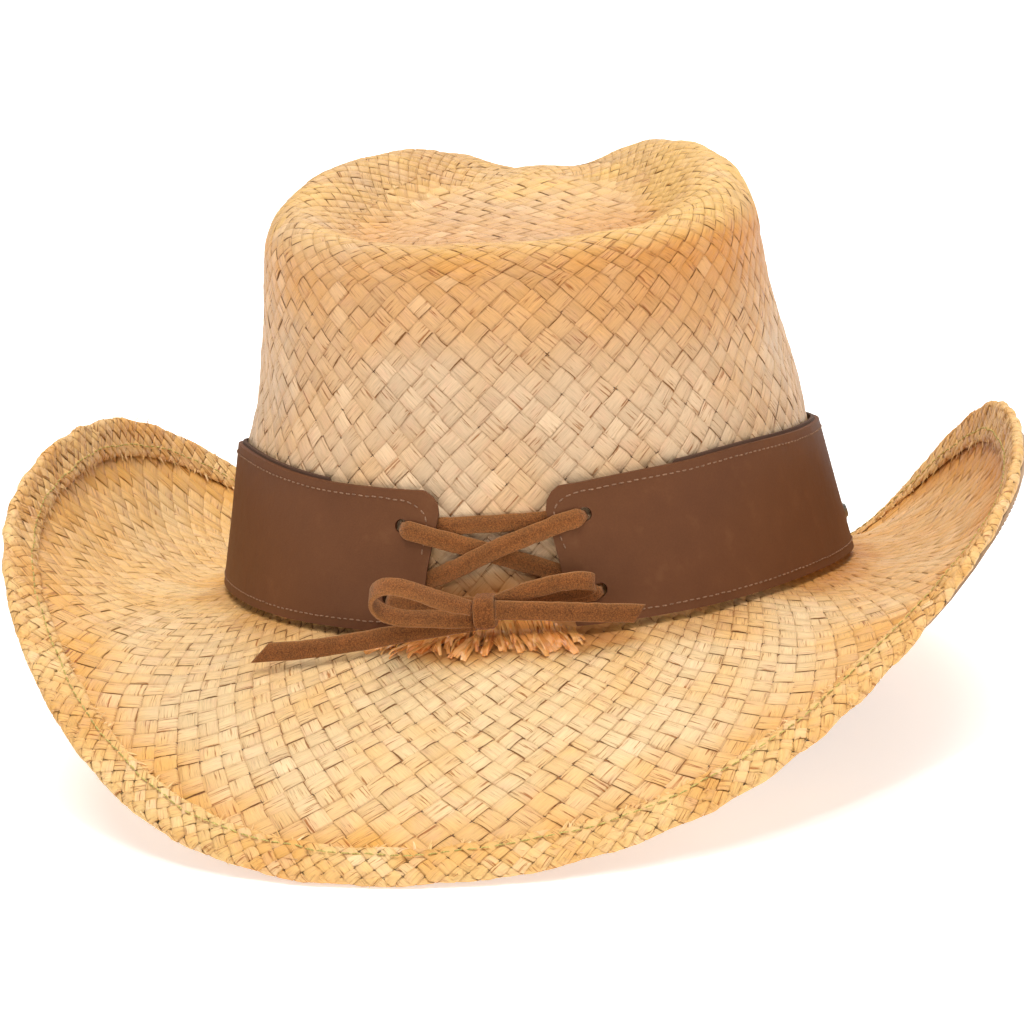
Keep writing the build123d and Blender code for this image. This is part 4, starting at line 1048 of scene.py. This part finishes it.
def brim_surface(ph, m, off):
    """From m = 0 outwards the brim; inwards of it the collar that turns up to the foot of the crown wall."""
    ph, m, off = np.broadcast_arrays(np.asarray(ph, float), np.asarray(m, float), np.asarray(off, float))
    p = brim_pt(ph, np.minimum(bilinear(s_table, ph, m), 1.0), off)
    k = np.clip(-m / 4.0, 0, 1)
    foot = off_wall(ph, break_z(ph) - 0.3 + 2.2 * k * k + off * (1 - k), off * k)
    return p * (1 - smooth(k * 1.6)[..., None]) + foot * smooth(k * 1.6)[..., None]


def brim_radius(m):
    ph = np.arange(-180, 180, 6.0)
    p = brim_surface(ph[None, :], np.clip(np.asarray(m, float), 0, 90)[:, None], 0.0)
    return np.linalg.norm(np.roll(p, -1, 1) - p, axis=-1).sum(1) / (2 * np.pi)


brim_phi = even_phi(lambda p: brim_surface(p, np.full_like(p, 34.0), 0.0))
brim_wob = lumps(0.20, 26, 20.0, 6)
v, f, at, info = drop_loose(*weave(brim_surface, brim_phi, 116, -4.0, 100.0, brim_radius, 0.25, -0.85, 41,
                                   limit=lambda p: brim_len(p) - 3.4, wobble=brim_wob, cell_mm=5.3, jitter=1.2))
# the brim's core: the same dark sheet, painted shade behind the weave's gaps
thin_sheet("brim_core", brim_surface, np.arange(0, 360, 1.5), np.concatenate([np.arange(-4, 2, 0.6), np.linspace(2, 80, 52)]), -0.84, 0.07, shaded_core_straw,
           "hat", limit=lambda p: brim_len(p) - 3.6, wobble=brim_wob)
d_edge = brim_len(info[:, 0]) - info[:, 1]
ph = np.mod(info[:, 0] + 180, 360) - 180
stain = 0.10 + 0.75 * smooth((34 - d_edge) / 30) + 0.12 * cl1(v * 1.3) + 0.10 * cl2(v * 1.1)
stain += 0.30 * smooth((np.abs(ph) - 35) / 60) + 0.40 * smooth((16 - info[:, 1]) / 16)
at["stain"] = np.clip(stain, 0, 1)
side = smooth((np.abs(ph) - 38) / 40)
under_bow = smooth((ph + 22) / 8) * smooth((28 - ph) / 8)
near = smooth((10.0 - info[:, 1] + 1.5 * cl2(v)) / 9)
# painted shade next to the crown foot away from the bow; edge lines fainter towards the brim's sides
at["edge"] = np.clip(at["edge"] * (1.35 - 0.95 * side) + 0.40 * near * (1 - under_bow), 0, 1.3)
# painted sunlight: a golden highlight on the brim's left side
at["sun"] = 0.30 * side * (ph < 0)
# painted shade under the bow and next to the crown foot; darker, more orange straw on the brim's right side and towards
# its outer edge
at["painted_shade_and_tint"] = np.clip(2.6 * near * under_bow + 0.5 * near + 0.85 * smooth((ph - 50) / 22) * smooth((150 - ph) / 20) + 0.45 * smooth((30 - d_edge) / 20), 0, 3.0)
# painted-shade spots at the brim's cell corners, fewer on the sides
at["pin_hole_shade"] = at["pin_hole_shade"] * (cl_pin_hole_shade(v) + 0.9 * cl1(v * 1.7) > 0.45 + 1.3 * side)
brim_ob = make("brim_weave", v, f, brim_straw, "hat", at, sharp=70)
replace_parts(brim_ob, "brim")

# hem: the folded edge, woven too, over the edge wire
hp = np.array([(11.6, 0.02), (11.0, 0.75), (9.0, 1.02), (6.5, 1.08), (4.2, 1.10), (2.6, 1.10), (1.3, 0.92), (0.45, 0.30), (0.15, -0.60),
               (0.45, -1.35), (1.3, -1.82), (2.6, -1.92), (4.3, -1.66)])
hs = np.concatenate([[0], np.cumsum(np.linalg.norm(np.diff(hp, axis=0), axis=1))])
hd, ho = cubic(hs, hp[:, 0]), cubic(hs, hp[:, 1])
H_LEN = hs[-1]


def hem_surface(ph, q, off):
    q = np.clip(q, 0, H_LEN)
    d, o = hd(q), ho(q)
    dd, do = hd(q + 0.1) - hd(q - 0.1), ho(q + 0.1) - ho(q - 0.1)
    ln = np.hypot(dd, do)
    nd, no = do / ln, -dd / ln                      # outward of the fold
    return edge_pt(ph, d + nd * off, o + no * off)


def hem_radius(q):
    ph = np.arange(-180, 180, 4.0)
    p = edge_pt(ph, 5.0, 0.5)
    return np.full(np.shape(q), np.linalg.norm(np.roll(p, -1, 0) - p, axis=-1).sum() / (2 * np.pi))


hem_phi = even_phi(lambda p: edge_pt(p, 4.0, 0.5))
v, f, at, info = drop_loose(*weave(hem_surface, hem_phi, 196, 0.0, H_LEN, hem_radius, 0.22, -0.22, 61, thick=0.22, gap=0.0, drop=0.04,
                                   wobble=lumps(0.20, 70, 9.0, 9), cell_mm=3.8, jitter=1.9))
at["stain"] = np.clip(0.45 + 0.20 * cl1(v * 1.7) + 0.18 * cl2(v * 1.4), 0, 1)
hem_ob = make("hem_weave", v, f, hem_straw, "hat", at, sharp=70)
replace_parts(hem_ob, "brim_hem")

# ------------------------------------------------------------------------------------------
# Stitching, thread by thread
# ------------------------------------------------------------------------------------------
def stitches(name, path, pitch, share, rad, lift, nrm_of, material, body, node, seed, flat=0.7, sway=0.06, bow=0.08):
    """Short threads along path (n x 3, mm), each sunk at both ends."""
    s = np.concatenate([[0], np.cumsum(np.linalg.norm(np.diff(path, axis=0), axis=1))])
    c = int(s[-1] / pitch)
    rs = R2(seed)
    a = (np.arange(c) + 0.5 * (1 - share)) * s[-1] / c + rs.uniform(-0.06, 0.06, c) * pitch
    b = a + share * pitch * (1 + rs.uniform(-0.08, 0.05, c))
    at_ = lambda q: np.stack([np.interp(q, s, path[:, k]) for k in range(3)], -1)
    p0, p1 = at_(a), at_(b)
    n = norm(nrm_of((p0 + p1) / 2))
    side = norm(np.cross(p1 - p0, n))
    j0, j1 = rs.normal(0, sway, (2, c, 1))
    v, f = capsules(p0 + side * j0 + n * (lift - 0.10), p1 + side * j1 + n * (lift - 0.10), n, rad, flat, 6, bow)
    ob = make(name, v, f, material, body)
    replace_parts(ob, node)
    return ob


def wall_normal(p):
    return norm(np.stack([p[:, 0] / OPEN_B ** 2, p[:, 1] / OPEN_A ** 2, 0 * p[:, 0]], -1))


def band_line(points, d):
    """Line on the band through (phi, height) points."""
    q = np.array(points, float)
    s = np.concatenate([[0], np.cumsum(np.hypot(np.diff(q[:, 0]) * 1.75, np.diff(q[:, 1])))])
    u = np.linspace(0, s[-1], 900)
    ph, z = np.interp(u, s, q[:, 0]), np.interp(u, s, q[:, 1])
    return off_wall(ph, z, np.full(len(u), d))


IN = 2.3
long_way = np.linspace(20.5, 341.5, 200)
up = [(p, float(z_top(p)) - IN) for p in long_way]
up = [(15.35, 21.5), (14.35, 26.0), (13.75, 30.5), (13.95, 32.6), (14.9, 34.2), (16.6, 35.4), (18.4, 36.0)] + up
up = up + [(345.3, 35.7), (347.2, 35.3), (348.9, 34.1), (350.3, 32.4), (350.75, 30.4), (350.3, 26.0), (349.55, 21.5)]
stitches("band_stitches_upper", band_line(up, 2.62), 2.15, 0.74, 0.21, 0.0, wall_normal, tan_thread, "band", "hatband_stitching_upper", 71)
lo = [(p, float(z_bot(p)) + IN) for p in np.linspace(19.3, 343.2, 220)]
stitches("band_stitches_lower", band_line(lo, 2.62), 2.15, 0.74, 0.21, 0.0, wall_normal, tan_thread, "band", "hatband_stitching_lower", 72)


def brim_up(p):
    """Upward side of the brim's rim near p."""
    ang = np.degrees(np.arctan2(p[:, 0] / OPEN_B, -p[:, 1] / OPEN_A))
    a = edge_pt(ang + 0.4, 8.0, 1.0) - edge_pt(ang - 0.4, 8.0, 1.0)
    b = edge_pt(ang, 7.0, 1.0) - edge_pt(ang, 9.0, 1.0)
    n = norm(np.cross(b, a))
    up_ = norm(edge_pt(ang, 8.0, 2.0) - edge_pt(ang, 8.0, 1.0))
    return n * np.sign((n * up_).sum(-1))[:, None]


ph_h = np.linspace(-180, 180, 1441)
wv = 0.28 * np.sin(ph_h * 0.31) + 0.22 * np.sin(ph_h * 0.83 + 1)
stitches("hem_stitches", edge_pt(ph_h, 8.5 + wv, 1.50), 3.3, 0.86, 0.24, 0.0, brim_up, green_thread, "hat", "hem_stitching", 73, sway=0.12, bow=0.22)
pp_ = np.linspace(54.5, 99.5, 400)
loop_path = np.concatenate([edge_pt(pp_, np.full(400, 5.9), -1.8 - 1.36), edge_pt(np.linspace(99.5, 101.8, 20), np.linspace(5.9, 9.0, 20), -1.8 - 1.36),
                            edge_pt(np.full(60, 101.8), np.linspace(9.0, 26.0, 60), -1.8 - 1.36), edge_pt(np.linspace(101.8, 99.5, 20), np.linspace(26.0, 30.3, 20), -1.8 - 1.36),
                            edge_pt(pp_[::-1], np.full(400, 30.3), -1.8 - 1.36), edge_pt(np.linspace(54.5, 52.2, 20), np.linspace(30.3, 26.0, 20), -1.8 - 1.36),
                            edge_pt(np.full(60, 52.2), np.linspace(26.0, 9.0, 60), -1.8 - 1.36), edge_pt(np.linspace(52.2, 54.5, 20), np.linspace(9.0, 5.9, 20), -1.8 - 1.36)])
stitches("patch_stitches", loop_path, 2.6, 0.75, 0.24, 0.0, lambda p: -brim_up(p), tan_thread, "hat", "patch_stitching", 74)


# ------------------------------------------------------------------------------------------
# Loose raffia: the bunched bend under the bow, the hem's raw inner edge, and stray fibres
# ------------------------------------------------------------------------------------------
def ribbons(p, side, width, thick, wprof=None):
    """Many flat closed ribbons. p is c x L x 3 points, side the width direction there."""
    c, nl = p.shape[:2]
    t = np.gradient(p, axis=1)
    t = norm(t)
    w = norm(side - (side * t).sum(-1)[..., None] * t)
    n = np.cross(t, w)
    prof = np.ones(nl) if wprof is None else wprof
    hw = (np.asarray(width).reshape(-1, 1) / 2) * prof[None]
    sec = [(-1.0, 0.0), (-0.7, 0.8), (0.0, 1.15), (0.7, 0.8), (1.0, 0.0), (0.7, -0.8), (0.0, -1.0), (-0.7, -0.8)]
    ht = (thick / 2) * np.minimum(1.0, hw / (hw.max() + 1e-9) + 0.35)
    v = np.stack([p + w * (hw * a)[..., None] + n * (ht * b)[..., None] for a, b in sec], 2)
    across = np.stack([hw * a for a, b in sec], 2)
    s = np.concatenate([np.zeros((c, 1)), np.cumsum(np.linalg.norm(np.diff(p, axis=1), axis=-1), 1)], 1)
    rid = np.arange(c)[:, None, None] * 3.7
    st = np.stack([across + 0 * rid, s[..., None] + rid * 5 + 0 * across, rid + 0 * across], -1)
    return v.reshape(-1, 3), tube_faces(c, nl, len(sec)), st.reshape(-1, 3), c * nl * len(sec)


def tuft_surface(ph, m, off):
    """The brim outwards of m = 0 and, inwards of it, the foot of the crown wall in the gap of the hatband."""
    ph, m, off = np.broadcast_arrays(np.asarray(ph, float), np.asarray(m, float), np.asarray(off, float))
    up = np.clip(-m, 0, None)
    t = smooth(up / 2.5)[..., None]
    return brim_surface(ph, np.maximum(m, 0), off) * (1 - t) + off_wall(ph, break_z(ph) - 0.3 + up, off) * t


rt = R2(91)
u7 = np.linspace(0, 1, 11)
rows = []
bend = np.interp(u7, [0, 0.2, 0.45, 0.72, 0.86, 0.94, 1.0], [-0.3, 0.35, 0.75, 1.0, 1.0, 0.80, 0.20])
for row, (m_in, m_out, step, wide, lift, lo_p, hi_p) in enumerate(((-3.8, 3.2, 1.9, 1.7, 0.7, -18, 17), (-2.8, 5.0, 2.1, 1.8, 0.6, -17, 16), (-2.0, 6.4, 2.3, 1.6, 0.5, -15, 15),
                                                                   (-3.0, 3.8, 2.0, 0.8, 1.0, -17, 16), (-1.6, 6.2, 2.2, 0.7, 0.9, -14, 14))):
    for p0 in np.arange(lo_p, hi_p, step):
        a = p0 + rt.uniform(-0.7, 0.7)
        d = np.interp(p0, [-18, -2, 4, 20], [-0.9, -0.7, 0.5, 0.9]) + rt.uniform(-0.35, 0.35) + (0.9 if rt.uniform() < 0.22 else 0.0) * rt.choice([-1, 1])
        ends = smooth((p0 - lo_p + 4) / 8) * smooth((hi_p - p0 + 4) / 8)
        cut = rt.uniform(0.72, 1.08)
        ph_l = a + d * 3.2 * (u7 - 0.35) * cut + rt.uniform(-0.4, 0.4) * np.sin(np.pi * u7)
        m_a = m_in + 1.2 + rt.uniform(-0.6, 0.6) - 3.2 * smooth((a + 9.5) / 3) * smooth((15.5 - a) / 3)
        m_l = m_a + (m_out + 1.0 - m_a) * cut * u7
        o_l = -0.50 + 0.04 * row + bend * rt.uniform(0.7, 1.9) * lift * 1.25 * (0.25 + 0.75 * ends)
        rows.append((ph_l, m_l, o_l, wide * rt.uniform(0.9, 2.0), rt.uniform(-0.7, 0.7)))
tp_, tm_, to_ = (np.array([r[i] for r in rows]) for i in range(3))
tc_ = tuft_surface(tp_, tm_, to_)
tn_ = norm(tuft_surface(tp_, tm_, to_ + 0.5) - tc_)
tt_ = norm(np.gradient(tc_, axis=1))
ts_ = np.cross(tt_, tn_) + tn_ * np.array([r[4] for r in rows])[:, None, None]
v, f, st, nv_ = ribbons(tc_, ts_, np.array([r[3] for r in rows]), 0.30, np.interp(u7, [0, 0.2, 0.6, 0.9, 1.0], [0.8, 1.0, 1.0, 0.9, 0.75]))
cnt = len(rows)
per = nv_ // cnt
tone_ = np.repeat(rt.uniform(0, 1, cnt), per)
# painted shade at the roots of the tufts, by the crown wall
make("bend_tufts", v, f, tuft_straw, "hat", {"strand": st, "tone": tone_, "stain": np.repeat(rt.uniform(0.1, 0.9, cnt), per), "edge": np.tile(np.repeat(np.array([0.5, 0.25, 0.1, 0, 0, 0, 0, 0, 0, 0, 0]), 8), cnt)}, sharp=70)

# raw inner edge of the hem: short fibre ends lying on the brim
cf = 900
fa, fl_ = rt.uniform(-180, 180, cf), rt.uniform(1.0, 3.8, cf)
dirn = rt.normal(0, 0.75, cf)
u5 = np.linspace(0, 1, 6)
scale_ph = 57.3 / 150.0
d_l = 10.2 + rt.uniform(-0.4, 0.6, cf)[:, None] + (fl_ * np.cos(np.clip(dirn, -1.25, 1.25)))[:, None] * u5[None]
p_l = fa[:, None] + (fl_ * np.sin(np.clip(dirn, -1.25, 1.25)))[:, None] * u5[None] * scale_ph + (rt.uniform(-0.4, 0.4, cf)[:, None]) * u5[None] ** 2
o_l = 0.50 + (rt.uniform(-0.35, 0.45, cf)[:, None]) * u5[None] ** 1.5 - 0.35 * u5[None] + 0.25 * np.sin(np.pi * u5)[None]
fc_ = edge_pt(p_l, d_l, o_l)
fn_ = norm(edge_pt(p_l, d_l, o_l + 0.5) - fc_)
fs_ = np.cross(norm(np.gradient(fc_, axis=1)), fn_)
v, f, st, nv_ = ribbons(fc_, fs_, rt.uniform(0.22, 0.85, cf), 0.12, np.array([1, 1, 0.95, 0.85, 0.65, 0.3]))
per = nv_ // cf
make("hem_fringe", v, f, hem_straw, "hat", {"strand": st, "tone": np.repeat(rt.uniform(0, 1, cf), per),
     "stain": np.repeat(rt.uniform(0, 0.8, cf), per), "edge": np.zeros(nv_)}, sharp=70)

# stray hairs at the outer edge and over the weave
ch = 900
fa, fl_ = rt.uniform(-180, 180, ch), rt.uniform(1.0, 3.6, ch)
d0 = rt.uniform(0.2, 6.0, ch)
dirn = rt.uniform(-1.3, 1.3, ch)
d_l = d0[:, None] - (fl_ * np.cos(dirn))[:, None] * u5[None]
p_l = fa[:, None] + (fl_ * np.sin(dirn))[:, None] * u5[None] * scale_ph + rt.uniform(-0.5, 0.5, ch)[:, None] * u5[None] ** 2
o_l = 1.15 - 0.3 + rt.uniform(0.1, 1.5, ch)[:, None] * u5[None] ** 1.3
fc_ = edge_pt(p_l, d_l, o_l)
fs_ = np.cross(norm(np.gradient(fc_, axis=1)), norm(edge_pt(p_l, d_l, o_l + 0.5) - fc_))
v, f, st, nv_ = ribbons(fc_, fs_, rt.uniform(0.12, 0.34, ch), 0.10, np.array([1, 1, 0.9, 0.75, 0.5, 0.2]))
per = nv_ // ch
make("stray_fibres", v, f, hem_straw, "hat", {"strand": st, "tone": np.repeat(rt.uniform(0, 1, ch), per),
     "stain": np.repeat(rt.uniform(0, 0.9, ch), per), "edge": np.repeat(rt.uniform(0, 1.0, ch), per)}, sharp=70)

for nm, mat in (("hatband_leather", leather), ("hatband_backing", backing), ("sweatband", sweat_leather), ("brim_patch", patch_leather),
                ("sweatband_stitching", sweat_thread), ("brim_wire", metal), ("rivet_cap_left", metal),
                ("rivet_cap_right", metal), ("rivet_post_left", metal), ("rivet_post_right", metal)):
    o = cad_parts[nm]
    o.data.materials.clear()
    o.data.materials.append(mat)
